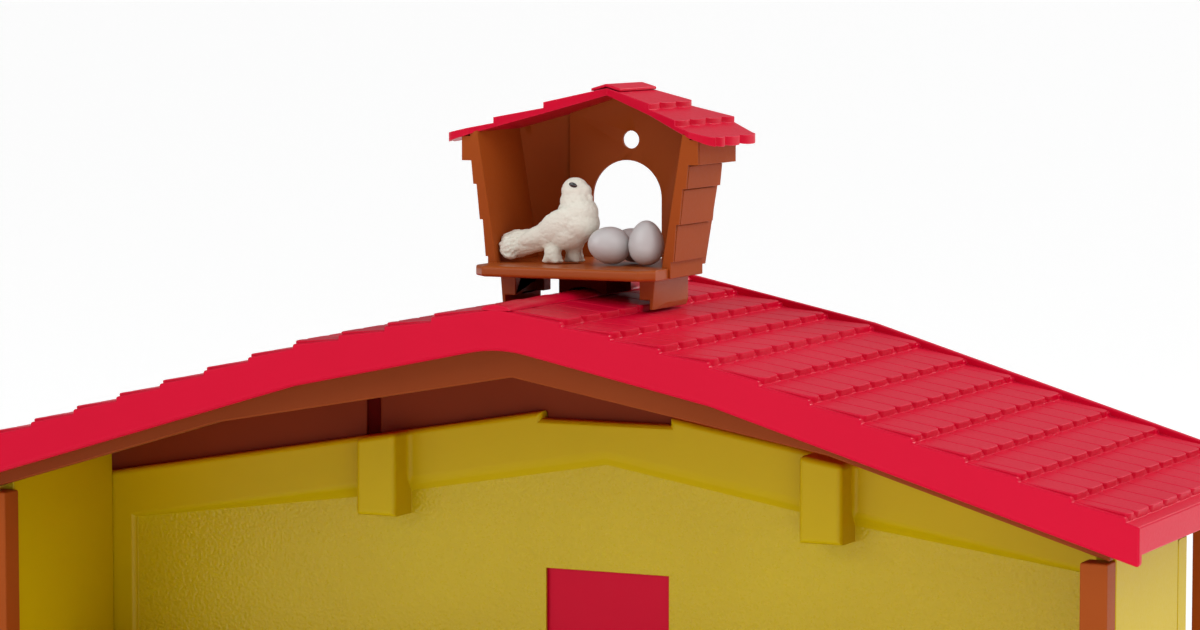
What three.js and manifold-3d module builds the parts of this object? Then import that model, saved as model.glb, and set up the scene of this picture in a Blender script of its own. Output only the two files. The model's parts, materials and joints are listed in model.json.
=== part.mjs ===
// A toy barn with opening doors and a lift-off dovecote on its ridge.
// Millimetres. X runs along the front wall, +Y points out of the doors, +Z is up.
// The open play side faces -Y. The origin is the bottom centre of the whole barn.
import * as THREE from "three";
import { mergeVertices } from "three/addons/utils/BufferGeometryUtils.js";
import Module from "manifold-3d";

const wasm = await Module();
wasm.setup();

// General stock
const fit = 0.3; // gap between pieces that touch
const overrun = 3; // how far a cutting tool runs past the face that it cuts
const boardStock = 4; // thickness of timber boards, trusses and gable boards
const trimStock = 3; // thickness of the frames laid on a wall
const edgeSides = 10; // sides of a small round section

// Base
const baseThickness = 5;
const baseReach = 4; // how far the base shows past the walls
const baseSetback = 4.7; // how far the base stays behind the roof's verge

// Walls
const wallHalfWidth = 184;
const wallThickness = 8;
const wallInnerY = 9.4; // face of the front wall that shows from the play side
const wallApex = 250;
const wallPitch = 0.171;
const sideStock = 6;
const bandHeight = 16.3; // plain band along the top of the front wall
const panelRecess = 2;
const panelMargin = 8;
const notchHalfWidth = 22;
const notchDepth = 6.1;
const ribSpacing = 151; // the two ribs on the inner face
const ribWidth = 14;
const ribReach = 9.5;
const ribDrop = 38.5; // lower end of a rib below the wall's apex
const ledgeReach = 4;
const ledgeHeight = 4;

// Roof
const roofDepth = 131.4;
const gableHeight = 34.7; // ridge of the roof boards above the front wall's apex
const upperPitch = 0.21;
const lowerPitch = 0.3;
const upperCourses = 4; // courses above the change of pitch
const courseCount = 12;
const firstCourse = 21.2;
const eaveReach = 11.7; // how far the roof stands out past the walls
const courseLip = 1.3;
const tileHeight = 0.85;
const tileCount = 9;
const tileNotch = 2.2;
const tileNotchShare = 0.26; // part of a tile's width taken by each rounded corner
const frontMargin = 1.5;
const backMargin = 4.4;
const eaveLip = 4;
const eaveHeight = 8;
const panelStock = 3.2;
const fasciaHeight = 11.4;
const fasciaStock = 3;
const rimHeight = 1.2;
const rimStock = 2;
const capHalfWidth = 5.2;
const capHeight = 1.5; // crown of a ridge cap above the ridge of the boards
const capCount = 7;
const capFlare = 0.5;
const capFlareLength = 2;

// Trusses and posts
const trussSetback = 10.4; // from the verge to the truss
const trussApexDrop = 21; // lower edge of the truss below the ridge of the boards
const trussPitch = 0.18;
const trussBreak = 100;
const postStock = 8;

// Loft
const loftAboveDoors = 16; // from the top of the doors to the underside of the loft
const loftStock = 4;
const loftReach = 39.4; // from the front wall to the loft's edge
const loftBeamHeight = 8;
const loftBeamStock = 6;
const ladderWidth = 26;
const ladderRail = 4;
const ladderFoot = 17; // how far the ladder's foot stands out from its top
const ladderPlace = -118;
const rungCount = 8;
const rungRadius = 1.6;
const dividerPlace = 57;
const dividerHeight = 62;
const dividerStock = 5;
const dividerRailHeight = 9;

// Doors
const doorHalfWidth = 62;
const doorTop = 132;
const doorStock = 4.6;
const doorClearance = 0.6;
const doorStop = 3; // how far the stop lip reaches into the doorway
const plankCount = 4;
const plankGroove = 0.8;
const braceStock = 2.4;
const braceWidth = 9;
const pullReach = 6;
const pullWidth = 4;
const pullHeight = 20;
const pinRadius = 1.2;
const barrelWall = 1.3;
const barrelHeight = 14;
const lugHeight = 6;
const frameWidth = 9;
const buttonLength = 24;
const buttonWidth = 7;
const buttonStock = 3;
const buttonPivotRadius = 1.5;

// Loft hatch
const hatchHalfWidth = 24;
const hatchAboveLoft = 8; // from the loft's deck to the foot of the hatch
const hatchHeight = 40;

// Windows
const windowPlace = 125;
const windowHalfWidth = 21;
const windowSill = 62;
const windowTop = 110;
const windowFrameWidth = 5;
const shutterStock = 2.5;
const slatCount = 5;
const slatMargin = 1.5; // from the knuckle to the ends of the grooves
const sideWindowPlace = -20;
const sideWindowHalfWidth = 15;
const sideWindowSill = 70;
const sideWindowTop = 108;

// Dovecote, in its own frame: X = 0 over the ridge, Y = 0 at its front, Z = 0 on its floor
const coteFrontY = -9.3; // where its front stands on the roof
const floorHalfWidth = 30;
const floorStock = 3.3;
const floorPorch = 13.5;
const floorChamfer = 4;
const coteDepth = 25.5; // of the shingled side walls
const coteWall = 3.4;
const coteWallTail = 4; // how far a side wall's core runs on behind its shingles
const coteHalfWidth = 27.7; // inside, at the floor
const coteLean = 0.162;
const bayHalfWidth = 20; // the back wall, which slanting walls join to the side walls
const bayDepth = 36;
const bayStock = 3;
const legHalfWidth = 26;
const legDrop = 12.7; // below the floor's top
const legInset = 1; // behind the front of the floor's walls
const legDepth = 25;
const legFace = 5.2;
const legWeb = 2.2;
const legFoot = 1.8; // width of the foot's lowest edge
const legNotch = 3;
const shingleBottoms = [31.2, 24, 13.2, 1.9, -3];
const shingleReaches = [39.6, 35.7, 33.5, 31.4, 31];
const shingleTuck = 1.6;
const shingleMargin = 2.2;
const coteRidge = 53.4;
const coteEave = 45.1; // half the roof's width
const cotePitch = 0.35;
const coteSoffit = 50.8; // underside of the roof at its ridge
const coteSoffitPitch = 0.323;
const coteCourseEnds = [18.2, 31.5];
const coteVerge = [20.5, 12.4, 2.7]; // front of the roof at the ridge and at each course's end
const coteEaveFront = -1;
const coteEaveBack = 33.8;
const coteBack = 46.5;
const coteCorner = 4; // where the eave's rounded corners start
const coteLip = 1.1;
const coteTileHeight = 0.75;
const coteTileNotch = 1.5;
const coteTileWidth = 12.1;
const coteTileRows = [{ tiles: 2, halfTile: 0 }, { tiles: 3, halfTile: 7.3 }, { tiles: 2, halfTile: 0 }];
const coteCapReach = 5;
const coteCapHeight = 0.9;
const archHalfWidth = 11.3;
const archSpring = 19.6;
const holeHeight = 36.9;
const holeRadius = 2.9;
const saddleHalfWidth = 8;
const saddleFront = 3;
const saddleBack = 21;
const saddleDrop = 8.8;

// Dove and eggs, in the dovecote's frame
const dovePlace = { x: -9, y: 7 };
const doveBody = { reach: 11, half: 6.2, height: 6.6, centre: 12.2, pitch: 0.35 };
const doveChest = { x: 5.2, z: 15, radius: 7.1, half: 6 };
const doveNeck = { x: 3.6, low: 16, high: 22, bottom: 5.6, top: 3.7 };
const doveHead = { x: 3.4, z: 22.6, radius: 4 };
const doveBeak = { reach: 4.6, radius: 1.2, z: 22.2 };
const doveTail = { root: -8, tip: -19, rootHeight: 5.4, tipHeight: 9.4, z: 8.2, half: 5.6, tilt: 2.2 };
const doveLeg = { spread: 2.9, stagger: 3.6, top: 8, waist: 2.1, foot: 3.6 };
const eggRadius = 5.7;
const eggLength = 14.4;
const eggBluntShare = 0.12; // how much fuller the blunt end is
// Each egg's size is a share of the first, and its place is in shares of the first one's radius.
const eggShares = [
  { size: 1, x: 1.51, y: 0.63, tilt: 1.25, turn: -2 },
  { size: 0.95, x: 3.58, y: 0.9, tilt: 0, turn: 0 },
  { size: 0.9, x: 2.21, y: 2.81, tilt: 1.2, turn: 2.9 },
];

// Places worked out from the sizes above
const ridge = wallApex + gableHeight;
const roofHalfWidth = wallHalfWidth + eaveReach;
const courseRun = (roofHalfWidth - eaveLip - firstCourse) / (courseCount - 1);
const courseEnd = (k) => firstCourse + k * courseRun;
const courseStart = (k) => (k === 0 ? 0 : courseEnd(k - 1));
const breakReach = courseEnd(upperCourses - 1);
const roofLine = (x) =>
  ridge - upperPitch * Math.min(x, breakReach) - lowerPitch * Math.max(0, x - breakReach);
const underside = (x) => roofLine(x) - panelStock;
const wallTop = (x) => wallApex - wallPitch * Math.abs(x);
const wallOuterY = wallInnerY + wallThickness;
const roofFront = -roofDepth / 2;
const roofBack = roofDepth / 2;
const trussFront = roofFront + trussSetback;
const trussLow = (x) =>
  ridge - trussApexDrop - trussPitch * Math.min(x, trussBreak) - lowerPitch * Math.max(0, x - trussBreak);
const loftHeight = doorTop + loftAboveDoors;
const loftTop = loftHeight + loftStock;
const hatchSill = loftTop + hatchAboveLoft;
const hatchTop = hatchSill + hatchHeight;
const surfaceOf = (x) => {
  const k = Math.max(0, Math.ceil((x - firstCourse) / courseRun));
  return roofLine(x) + (courseLip * (x - courseStart(k))) / (courseEnd(k) - courseStart(k));
};
const coteFloor = surfaceOf(legHalfWidth - legFoot) + tileHeight + fit + legDrop;

// Solids

const frames = {
  x: new THREE.Matrix4().makeBasis(
    new THREE.Vector3(0, 1, 0), new THREE.Vector3(0, 0, 1), new THREE.Vector3(1, 0, 0)),
  y: new THREE.Matrix4().makeBasis(
    new THREE.Vector3(1, 0, 0), new THREE.Vector3(0, 0, 1), new THREE.Vector3(0, -1, 0)),
  z: new THREE.Matrix4(),
};

function solid(geometry) {
  geometry.deleteAttribute("normal");
  geometry.deleteAttribute("uv");
  const merged = mergeVertices(geometry);
  return new wasm.Manifold(
    new wasm.Mesh({
      numProp: 3,
      vertProperties: new Float32Array(merged.attributes.position.array),
      triVerts: new Uint32Array(merged.index.array),
    }),
  );
}

// An outline drawn across one axis, pushed along it from low to high.
// Its points are (y, z) along x, (x, z) along y and (x, y) along z.
function prism(along, points, low, high) {
  const shape = new THREE.Shape(points.map(([u, v]) => new THREE.Vector2(u, v)));
  const geometry = new THREE.ExtrudeGeometry(shape, { depth: high - low, bevelEnabled: false });
  geometry.translate(0, 0, along === "y" ? -high : low);
  geometry.applyMatrix4(frames[along]);
  return solid(geometry);
}

function block([x0, x1], [y0, y1], [z0, z1]) {
  const geometry = new THREE.BoxGeometry(x1 - x0, y1 - y0, z1 - z0);
  geometry.translate((x0 + x1) / 2, (y0 + y1) / 2, (z0 + z1) / 2);
  return solid(geometry);
}

function circle(u, v, radius, sides = edgeSides) {
  const points = [];
  for (let i = 0; i < sides; i++) {
    const turn = (2 * Math.PI * (i + 0.5)) / sides;
    points.push([u + radius * Math.cos(turn), v + radius * Math.sin(turn)]);
  }
  return points;
}

function ball({ x, y, z }, [rx, ry, rz], pitch = 0, around = 14, down = 9) {
  const geometry = new THREE.SphereGeometry(1, around, down);
  geometry.rotateX(Math.PI / 2);
  geometry.scale(rx, ry, rz);
  geometry.rotateY(-pitch);
  geometry.translate(x, y, z);
  return solid(geometry);
}

const join = (pieces) => pieces.reduce((whole, piece) => whole.add(piece));
const cut = (piece, tools) => tools.reduce((rest, tool) => rest.subtract(tool), piece);
const mirrored = (points, side) => points.map(([u, v]) => [side * u, v]);

// Materials

const red = () => new THREE.MeshStandardMaterial({ color: 0xc8102e, roughness: 0.38, metalness: 0 });
const brown = () => new THREE.MeshStandardMaterial({ color: 0x8a4a22, roughness: 0.5, metalness: 0 });
const yellow = () => new THREE.MeshStandardMaterial({ color: 0xc9ae2a, roughness: 0.6, metalness: 0 });
const stone = () => new THREE.MeshStandardMaterial({ color: 0x8d8a80, roughness: 0.7, metalness: 0 });
const steel = () => new THREE.MeshStandardMaterial({ color: 0xb8babc, roughness: 0.3, metalness: 1 });
const white = () => new THREE.MeshStandardMaterial({ color: 0xe6e4d3, roughness: 0.65, metalness: 0 });
const lilac = () => new THREE.MeshStandardMaterial({ color: 0xb9b1b3, roughness: 0.4, metalness: 0 });

function mesh(name, shape, material) {
  const { vertProperties, triVerts } = shape.getMesh();
  const geometry = new THREE.BufferGeometry();
  geometry.setAttribute("position", new THREE.BufferAttribute(new Float32Array(vertProperties), 3));
  geometry.setIndex(new THREE.BufferAttribute(new Uint32Array(triVerts), 1));
  geometry.computeVertexNormals();
  const piece = new THREE.Mesh(geometry, material);
  piece.name = name;
  return piece;
}

// Base and walls

const baseHalfDepth = roofDepth / 2 - baseSetback;
const baseHalfWidth = wallHalfWidth + baseReach;

function basePlate() {
  return block([-baseHalfWidth, baseHalfWidth], [-baseHalfDepth, baseHalfDepth], [0, baseThickness]);
}

function ribOutline(place) {
  const low = wallApex - ribDrop;
  const [left, right] = [place - ribWidth / 2, place + ribWidth / 2];
  return [[left, low], [right, low], [right, wallTop(right)], [left, wallTop(left)]];
}

function frontWall() {
  const foot = baseThickness + fit;
  const notchFloor = wallApex - notchDepth;
  const body = prism("y", [
    [-wallHalfWidth, foot],
    [wallHalfWidth, foot],
    [wallHalfWidth, wallTop(wallHalfWidth)],
    [notchHalfWidth, wallTop(notchHalfWidth)],
    [notchHalfWidth, notchFloor],
    [-notchHalfWidth, notchFloor],
    [-notchHalfWidth, wallTop(notchHalfWidth)],
    [-wallHalfWidth, wallTop(wallHalfWidth)],
  ], wallInnerY, wallOuterY);
  const panelHalf = wallHalfWidth - sideStock - panelMargin;
  const panelTop = (x) => wallTop(x) - bandHeight;
  const panel = prism("y", [
    [-panelHalf, loftTop + panelMargin],
    [panelHalf, loftTop + panelMargin],
    [panelHalf, panelTop(panelHalf)],
    [0, panelTop(0)],
    [-panelHalf, panelTop(panelHalf)],
  ], wallInnerY - overrun, wallInnerY + panelRecess);
  const stopY = wallOuterY - doorStock - doorClearance;
  const outerDoor = doorHalfWidth + doorClearance;
  const innerDoor = doorHalfWidth - doorStop;
  const outerHatch = hatchHalfWidth + doorClearance;
  const innerHatch = hatchHalfWidth - doorStop;
  const openings = [
    block([-innerDoor, innerDoor], [wallInnerY - overrun, stopY + fit],
      [baseThickness - overrun, doorTop - doorStop]),
    block([-outerDoor, outerDoor], [stopY, wallOuterY + overrun],
      [baseThickness - overrun, doorTop + doorClearance]),
    block([-innerHatch, innerHatch], [wallInnerY - overrun, stopY + fit],
      [hatchSill + doorStop, hatchTop - doorStop]),
    block([-outerHatch, outerHatch], [stopY, wallOuterY + overrun],
      [hatchSill - doorClearance, hatchTop + doorClearance]),
  ];
  for (const side of [-1, 1]) {
    const place = side * windowPlace;
    openings.push(block([place - windowHalfWidth, place + windowHalfWidth],
      [wallInnerY - overrun, wallOuterY + overrun], [windowSill, windowTop]));
  }
  const ribs = [-1, 1].map((side) =>
    prism("y", ribOutline((side * ribSpacing) / 2), wallInnerY - ribReach, wallInnerY + panelRecess + fit));
  const ledge = block(
    [-panelHalf, panelHalf], [wallInnerY - ledgeReach, wallInnerY + fit],
    [loftHeight - fit - ledgeHeight, loftHeight - fit]);
  return join([cut(body, [panel, ...openings]), ...ribs, ledge]);
}

function sideWall(side) {
  const inner = wallHalfWidth - sideStock;
  const outline = [
    [inner, baseThickness + fit],
    [wallHalfWidth, baseThickness + fit],
    [wallHalfWidth, underside(wallHalfWidth) - fit],
    [inner, underside(inner) - fit],
  ];
  const front = trussFront - postStock / 2 + boardStock / 2 + postStock + fit;
  const body = prism("y", mirrored(outline, side), front, wallInnerY - fit);
  const opening = block(
    [side * wallHalfWidth - sideStock - overrun, side * wallHalfWidth + sideStock + overrun],
    [sideWindowPlace - sideWindowHalfWidth, sideWindowPlace + sideWindowHalfWidth],
    [sideWindowSill, sideWindowTop]);
  return cut(body, [opening]);
}

function gableBoard() {
  const low = (x) => wallTop(x) + fit;
  const high = (x) => underside(x) - fit;
  const tab = notchHalfWidth - fit;
  const half = [
    [tab, wallApex - notchDepth + fit],
    [tab, low(tab)],
    [wallHalfWidth, low(wallHalfWidth)],
    [wallHalfWidth, high(wallHalfWidth)],
    [breakReach, high(breakReach)],
  ];
  const left = mirrored(half, -1).reverse();
  return prism("y", [...half, [0, high(0)], ...left], wallOuterY - boardStock, wallOuterY);
}

// Roof

function panelOutline() {
  const points = [[fit / 2, roofLine(0)]];
  for (let k = 0; k < courseCount; k++) {
    if (k > 0) points.push([courseStart(k), roofLine(courseStart(k))]);
    points.push([courseEnd(k), roofLine(courseEnd(k)) + courseLip]);
  }
  const edge = roofLine(roofHalfWidth);
  const lipStart = roofHalfWidth - eaveLip;
  points.push(
    [courseEnd(courseCount - 1), roofLine(courseEnd(courseCount - 1))],
    [roofHalfWidth, edge],
    [roofHalfWidth, edge - eaveHeight],
    [lipStart, edge - eaveHeight],
    [lipStart, underside(lipStart)],
    [breakReach, underside(breakReach)],
    [fit / 2, underside(0)],
  );
  return points;
}

function fasciaOutline() {
  const low = (x) => roofLine(x) - fasciaHeight;
  return [
    [fit / 2, underside(0) + fit],
    [fit / 2, low(0)],
    [breakReach, low(breakReach)],
    [roofHalfWidth, low(roofHalfWidth)],
    [roofHalfWidth, underside(roofHalfWidth) + fit],
    [breakReach, underside(breakReach) + fit],
  ];
}

function rimOutline() {
  const rise = (x) => roofLine(x) + rimHeight + courseLip;
  const start = capHalfWidth + capFlare + fit;
  return [
    [start, roofLine(start) - fit],
    [breakReach, roofLine(breakReach) - fit],
    [roofHalfWidth, roofLine(roofHalfWidth) - fit],
    [roofHalfWidth, rise(roofHalfWidth)],
    [breakReach, rise(breakReach)],
    [start, rise(start)],
  ];
}

// The rounded lower ends of one course of tiles, seen from above.
function tileEnds(start, end, first, pitch, count, notch) {
  const points = [[start, first], [end - notch, first]];
  for (let tile = 0; tile < count; tile++) {
    const low = first + tile * pitch;
    points.push(
      [end, low + pitch * tileNotchShare],
      [end, low + pitch * (1 - tileNotchShare)],
      [end - notch, low + pitch],
    );
  }
  points.push([start, first + count * pitch]);
  return points;
}

function tileCourse(k, side) {
  const pitch = (roofDepth - frontMargin - backMargin) / (tileCount + 0.5);
  const first = roofFront + frontMargin + ((k % 2) * pitch) / 2;
  const start = Math.max(courseStart(k) - courseLip, capHalfWidth + capFlare + fit);
  const end = courseEnd(k) + courseLip / 2;
  const plan = mirrored(tileEnds(start, end, first, pitch, tileCount, tileNotch), side);
  const slope = (roofLine(end) - roofLine(courseStart(k))) / (end - courseStart(k));
  const top = (x) =>
    roofLine(courseStart(k)) + slope * (x - courseStart(k)) + tileHeight +
    (courseLip * (x - courseStart(k))) / (courseEnd(k) - courseStart(k));
  const floor = (x) => underside(x) + panelStock / 2;
  const section = mirrored(
    [[start, floor(start)], [end, floor(end)], [end, top(end)], [start, top(start)]], side);
  return prism("z", plan, floor(end), ridge + courseLip).intersect(prism("y", section, roofFront, roofBack));
}

function roofHalf(side) {
  const courses = [];
  for (let k = 0; k < courseCount; k++) courses.push(tileCourse(k, side));
  return join([
    prism("y", mirrored(panelOutline(), side), roofFront, roofBack),
    prism("y", mirrored(fasciaOutline(), side), roofFront, roofFront + fasciaStock),
    prism("y", mirrored(fasciaOutline(), side), roofBack - fasciaStock, roofBack),
    prism("y", mirrored(rimOutline(), side), roofBack - rimStock, roofBack),
    ...courses,
  ]);
}

function capOutline(extra) {
  const low = surfaceOf(capHalfWidth) + fit;
  const crown = ridge + capHeight + extra;
  const half = capHalfWidth + extra;
  const points = [[0, ridge + fit], [half, low]];
  const steps = 6;
  for (let i = 1; i < steps; i++) {
    const turn = (Math.PI * i) / steps;
    points.push([half * Math.cos(turn), low + (crown - low) * Math.sin(turn)]);
  }
  points.push([-half, low]);
  return points;
}

function ridgeCaps() {
  const length = roofDepth / capCount;
  const pieces = [];
  for (let i = 0; i < capCount; i++) {
    const start = roofFront + i * length;
    pieces.push(prism("y", capOutline(0), start, start + length));
    pieces.push(prism("y", capOutline(capFlare), start, start + capFlareLength));
  }
  return join(pieces);
}

// Trusses, posts and loft

function truss(start) {
  const end = wallHalfWidth;
  const half = [
    [trussBreak, trussLow(trussBreak)],
    [end, trussLow(end)],
    [end, underside(end) - fit],
    [breakReach, underside(breakReach) - fit],
  ];
  const low = [[0, trussLow(0)]];
  const high = [[0, underside(0) - fit]];
  const points = [...low, ...half, ...high, ...mirrored(half, -1).reverse()];
  return prism("y", points, start, start + boardStock);
}

function post(side, trussStart) {
  const middle = trussStart + boardStock / 2;
  const [near, far] = [wallHalfWidth - postStock, wallHalfWidth];
  return block(
    [Math.min(side * near, side * far), Math.max(side * near, side * far)],
    [middle - postStock / 2, middle + postStock / 2],
    [baseThickness + fit, trussLow(wallHalfWidth) - fit]);
}

const loftEdge = wallInnerY - loftReach;
const innerHalf = wallHalfWidth - sideStock - fit;

function loftFloor() {
  return block([-innerHalf, innerHalf], [loftEdge, wallInnerY - fit], [loftHeight, loftTop]);
}

function loftBeam() {
  return block([-innerHalf, innerHalf], [loftEdge, loftEdge + loftBeamStock],
    [loftHeight - fit - loftBeamHeight, loftHeight - fit]);
}

function loftLadder() {
  const topY = loftEdge - fit - ladderRail;
  const rail = (x) => prism("x", [
    [topY - ladderFoot, baseThickness + fit],
    [topY - ladderFoot + ladderRail, baseThickness + fit],
    [topY + ladderRail, loftTop],
    [topY, loftTop],
  ], x, x + ladderRail);
  const pieces = [
    rail(ladderPlace - ladderWidth / 2),
    rail(ladderPlace + ladderWidth / 2 - ladderRail),
  ];
  for (let i = 1; i <= rungCount; i++) {
    const share = i / (rungCount + 1);
    const z = baseThickness + share * (loftTop - baseThickness);
    const y = topY - ladderFoot * (1 - share) + ladderRail / 2;
    pieces.push(prism("x", circle(y, z, rungRadius, 8),
      ladderPlace - ladderWidth / 2 + ladderRail / 2, ladderPlace + ladderWidth / 2 - ladderRail / 2));
  }
  return join(pieces);
}

function stallDivider() {
  const front = loftEdge;
  const back = wallInnerY - ledgeReach - fit;
  const foot = baseThickness + fit;
  const across = [dividerPlace, dividerPlace + dividerStock];
  const rails = [0, 1, 2].map((i) => {
    const low = foot + dividerHeight * (i / 3) + dividerRailHeight / 2;
    return block(across, [front, back], [low, low + dividerRailHeight]);
  });
  const stiles = [front, back - dividerStock * 2].map((y) =>
    block(across, [y, y + dividerStock * 2], [foot, foot + dividerHeight]));
  return join([...rails, ...stiles]);
}

// Hinges. A pin stands in two lugs of the frame and carries the barrels of its leaf.

const barrelRadius = pinRadius + fit + barrelWall;
const hingeY = wallOuterY + fit + barrelRadius;

function pin(x, y, low, high) {
  return prism("z", circle(x, y, pinRadius), low, high);
}

function lug(x, y, reachX, backY, low, high) {
  const arm = block([Math.min(x, reachX), Math.max(x, reachX)], [backY, y + barrelRadius], [low, high]);
  return cut(join([arm, prism("z", circle(x, y, barrelRadius), low, high)]),
    [prism("z", circle(x, y, pinRadius + fit), low - overrun, high + overrun)]);
}

function barrel(x, y, inward, faceY, low, high) {
  const arm = block(
    [Math.min(x, x + inward), Math.max(x, x + inward)], [faceY, y + barrelRadius / 2], [low, high]);
  return { body: join([arm, prism("z", circle(x, y, barrelRadius), low, high)]),
    bore: prism("z", circle(x, y, pinRadius + fit), low - overrun, high + overrun) };
}

// A frame of boards laid round an opening on the outer face of the front wall.
function surround(halfWidth, low, high, width, withSill, place = 0) {
  const start = wallOuterY + fit;
  const outer = block([place - halfWidth - width, place + halfWidth + width],
    [start, start + trimStock], [withSill ? low - width : low, high + width]);
  const inner = block([place - halfWidth, place + halfWidth],
    [start - overrun, start + trimStock + overrun], [withSill ? low : low - overrun, high]);
  return cut(outer, [inner]);
}

const doorGap = barrelRadius + fit; // room for the barrels beside the doorway

function hingeLugs(side, halfWidth, low, high, farEdge) {
  const reach = side * (halfWidth + doorGap + frameWidth / 2);
  return [low, high - lugHeight].map((z) =>
    lug(side * farEdge, hingeY, reach, wallOuterY + fit, z, z + lugHeight));
}

function doorFrame() {
  const foot = baseThickness + fit;
  const boards = surround(doorHalfWidth + doorGap, foot, doorTop + doorClearance, frameWidth, false);
  const lugs = [-1, 1].flatMap((side) =>
    hingeLugs(side, doorHalfWidth, foot, doorTop, doorHalfWidth));
  const pivotZ = doorTop + doorClearance + frameWidth / 2;
  const pivot = prism("y", circle(0, pivotZ, buttonPivotRadius),
    wallOuterY + fit, wallOuterY + fit + trimStock + fit + buttonStock + fit);
  const head = prism("y", circle(0, pivotZ, buttonPivotRadius * 2),
    wallOuterY + fit + trimStock + fit + buttonStock + fit,
    wallOuterY + fit + trimStock + fit + buttonStock + fit + trimStock / 2);
  return join([boards, ...lugs, pivot, head]);
}

function turnButton() {
  const pivotZ = doorTop + doorClearance + frameWidth / 2;
  const start = wallOuterY + fit + trimStock + fit;
  const half = buttonLength / 2 - buttonWidth / 2;
  const bar = join([
    block([-half, half], [start, start + buttonStock], [pivotZ - buttonWidth / 2, pivotZ + buttonWidth / 2]),
    prism("y", circle(-half, pivotZ, buttonWidth / 2), start, start + buttonStock),
    prism("y", circle(half, pivotZ, buttonWidth / 2), start, start + buttonStock),
  ]);
  return cut(bar, [prism("y", circle(0, pivotZ, buttonPivotRadius + fit),
    start - overrun, start + buttonStock + overrun)]);
}

const leafY = [wallOuterY - doorStock, wallOuterY];

// A plank leaf hung on its pin at the far edge; it closes towards x = near.
function leaf(side, near, far, low, high, lugs) {
  const [x0, x1] = [Math.min(side * near, side * far), Math.max(side * near, side * far)];
  const slab = block([x0, x1], leafY, [low, high]);
  const grooves = [];
  for (let i = 1; i < plankCount; i++) {
    const x = x0 + ((x1 - x0) * i) / plankCount;
    grooves.push(block([x - plankGroove / 2, x + plankGroove / 2],
      [wallOuterY - plankGroove, wallOuterY + overrun], [low - overrun, high + overrun]));
  }
  const barrels = lugs.map(([z0, z1]) =>
    barrel(side * far, hingeY, -side * (barrelRadius + braceWidth / 2), wallOuterY - fit, z0, z1));
  return cut(join([cut(slab, grooves), ...barrels.map((b) => b.body)]), barrels.map((b) => b.bore));
}

const doorLow = baseThickness + fit + doorClearance;
const doorBarrels = [
  [baseThickness + fit + lugHeight + fit, baseThickness + fit + lugHeight + fit + barrelHeight],
  [doorTop - lugHeight - fit - barrelHeight, doorTop - lugHeight - fit],
];

function doorLeaf(side) {
  return leaf(side, doorClearance / 2, doorHalfWidth, doorLow, doorTop, doorBarrels);
}

// Rails, a stile and a diagonal laid on the outer face of a leaf.
function brace(side, near, far, low, high) {
  const start = wallOuterY + fit;
  const [a, b] = [near + braceWidth / 2, far - braceWidth - barrelRadius];
  const rail = (z) => [[a, z], [b, z], [b, z + braceWidth], [a, z + braceWidth]];
  const stile = [[a, low], [a + braceWidth, low], [a + braceWidth, high], [a, high]];
  const diagonal = [
    [a + braceWidth / 2, low + braceWidth / 2], [a + braceWidth / 2 + braceWidth, low + braceWidth / 2],
    [b, high - braceWidth / 2], [b - braceWidth, high - braceWidth / 2],
  ];
  return join([rail(low), rail(high - braceWidth), stile, diagonal].map((points) =>
    prism("y", mirrored(points, side), start, start + braceStock)));
}

function doorBrace(side) {
  const low = doorBarrels[0][1] + fit;
  const high = doorBarrels[1][0] - fit;
  return brace(side, doorClearance / 2, doorHalfWidth, low, high);
}

// A loop handle that stands on a face at y = start.
function pull(side, near, middle, start) {
  const [a, b] = [side * near, side * (near + pullWidth)];
  const [x0, x1] = [Math.min(a, b), Math.max(a, b)];
  const bar = block([x0, x1], [start, start + pullReach],
    [middle - pullHeight / 2, middle + pullHeight / 2]);
  const grip = block([x0 - overrun, x1 + overrun],
    [start + pullWidth / 4, start + pullReach - pullWidth / 2],
    [middle - pullHeight / 2 + pullWidth, middle + pullHeight / 2 - pullWidth]);
  return cut(bar, [grip]);
}

function doorPull(side) {
  const near = doorClearance / 2 + braceWidth / 2 + (braceWidth - pullWidth) / 2;
  return pull(side, near, (doorLow + doorTop) / 2, wallOuterY + fit + braceStock + fit);
}

// Hatch

const hatchBarrels = [
  [hatchSill + lugHeight + fit, hatchSill + lugHeight + fit + barrelHeight / 2],
  [hatchTop - lugHeight - fit - barrelHeight / 2, hatchTop - lugHeight - fit],
];

function hatchFrame() {
  const boards = surround(hatchHalfWidth + doorGap, hatchSill - doorClearance,
    hatchTop + doorClearance, frameWidth / 2, true);
  const lugs = hingeLugs(1, hatchHalfWidth, hatchSill, hatchTop, hatchHalfWidth);
  return join([boards, ...lugs]);
}

function hatchLeaf() {
  return leaf(1, doorClearance - hatchHalfWidth, hatchHalfWidth, hatchSill, hatchTop, hatchBarrels);
}

function hatchPull() {
  return pull(-1, hatchHalfWidth - pullWidth * 2, (hatchSill + hatchTop) / 2, wallOuterY + fit);
}

// Windows and shutters

const shutterBarrel = shutterStock / 2 + pinRadius;
const shutterY = wallOuterY + fit + trimStock + fit + shutterBarrel;
const shutterPinX = windowHalfWidth + windowFrameWidth / 2;

function shutterLug(x, low, high) {
  const start = wallOuterY + fit + trimStock - fit;
  const body = join([
    block([x - shutterBarrel, x + shutterBarrel], [start, shutterY], [low, high]),
    prism("z", circle(x, shutterY, shutterBarrel), low, high),
  ]);
  return cut(body, [prism("z", circle(x, shutterY, pinRadius + fit), low - overrun, high + overrun)]);
}

function windowFrame(side) {
  const boards = surround(
    windowHalfWidth, windowSill, windowTop, windowFrameWidth, true, side * windowPlace);
  const lugs = [-1, 1].flatMap((hand) => {
    const x = side * windowPlace + hand * shutterPinX;
    return [
      shutterLug(x, windowSill - windowFrameWidth, windowSill - windowFrameWidth + lugHeight / 2),
      shutterLug(x, windowTop + windowFrameWidth - lugHeight / 2, windowTop + windowFrameWidth),
    ];
  });
  return join([boards, ...lugs]);
}

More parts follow.
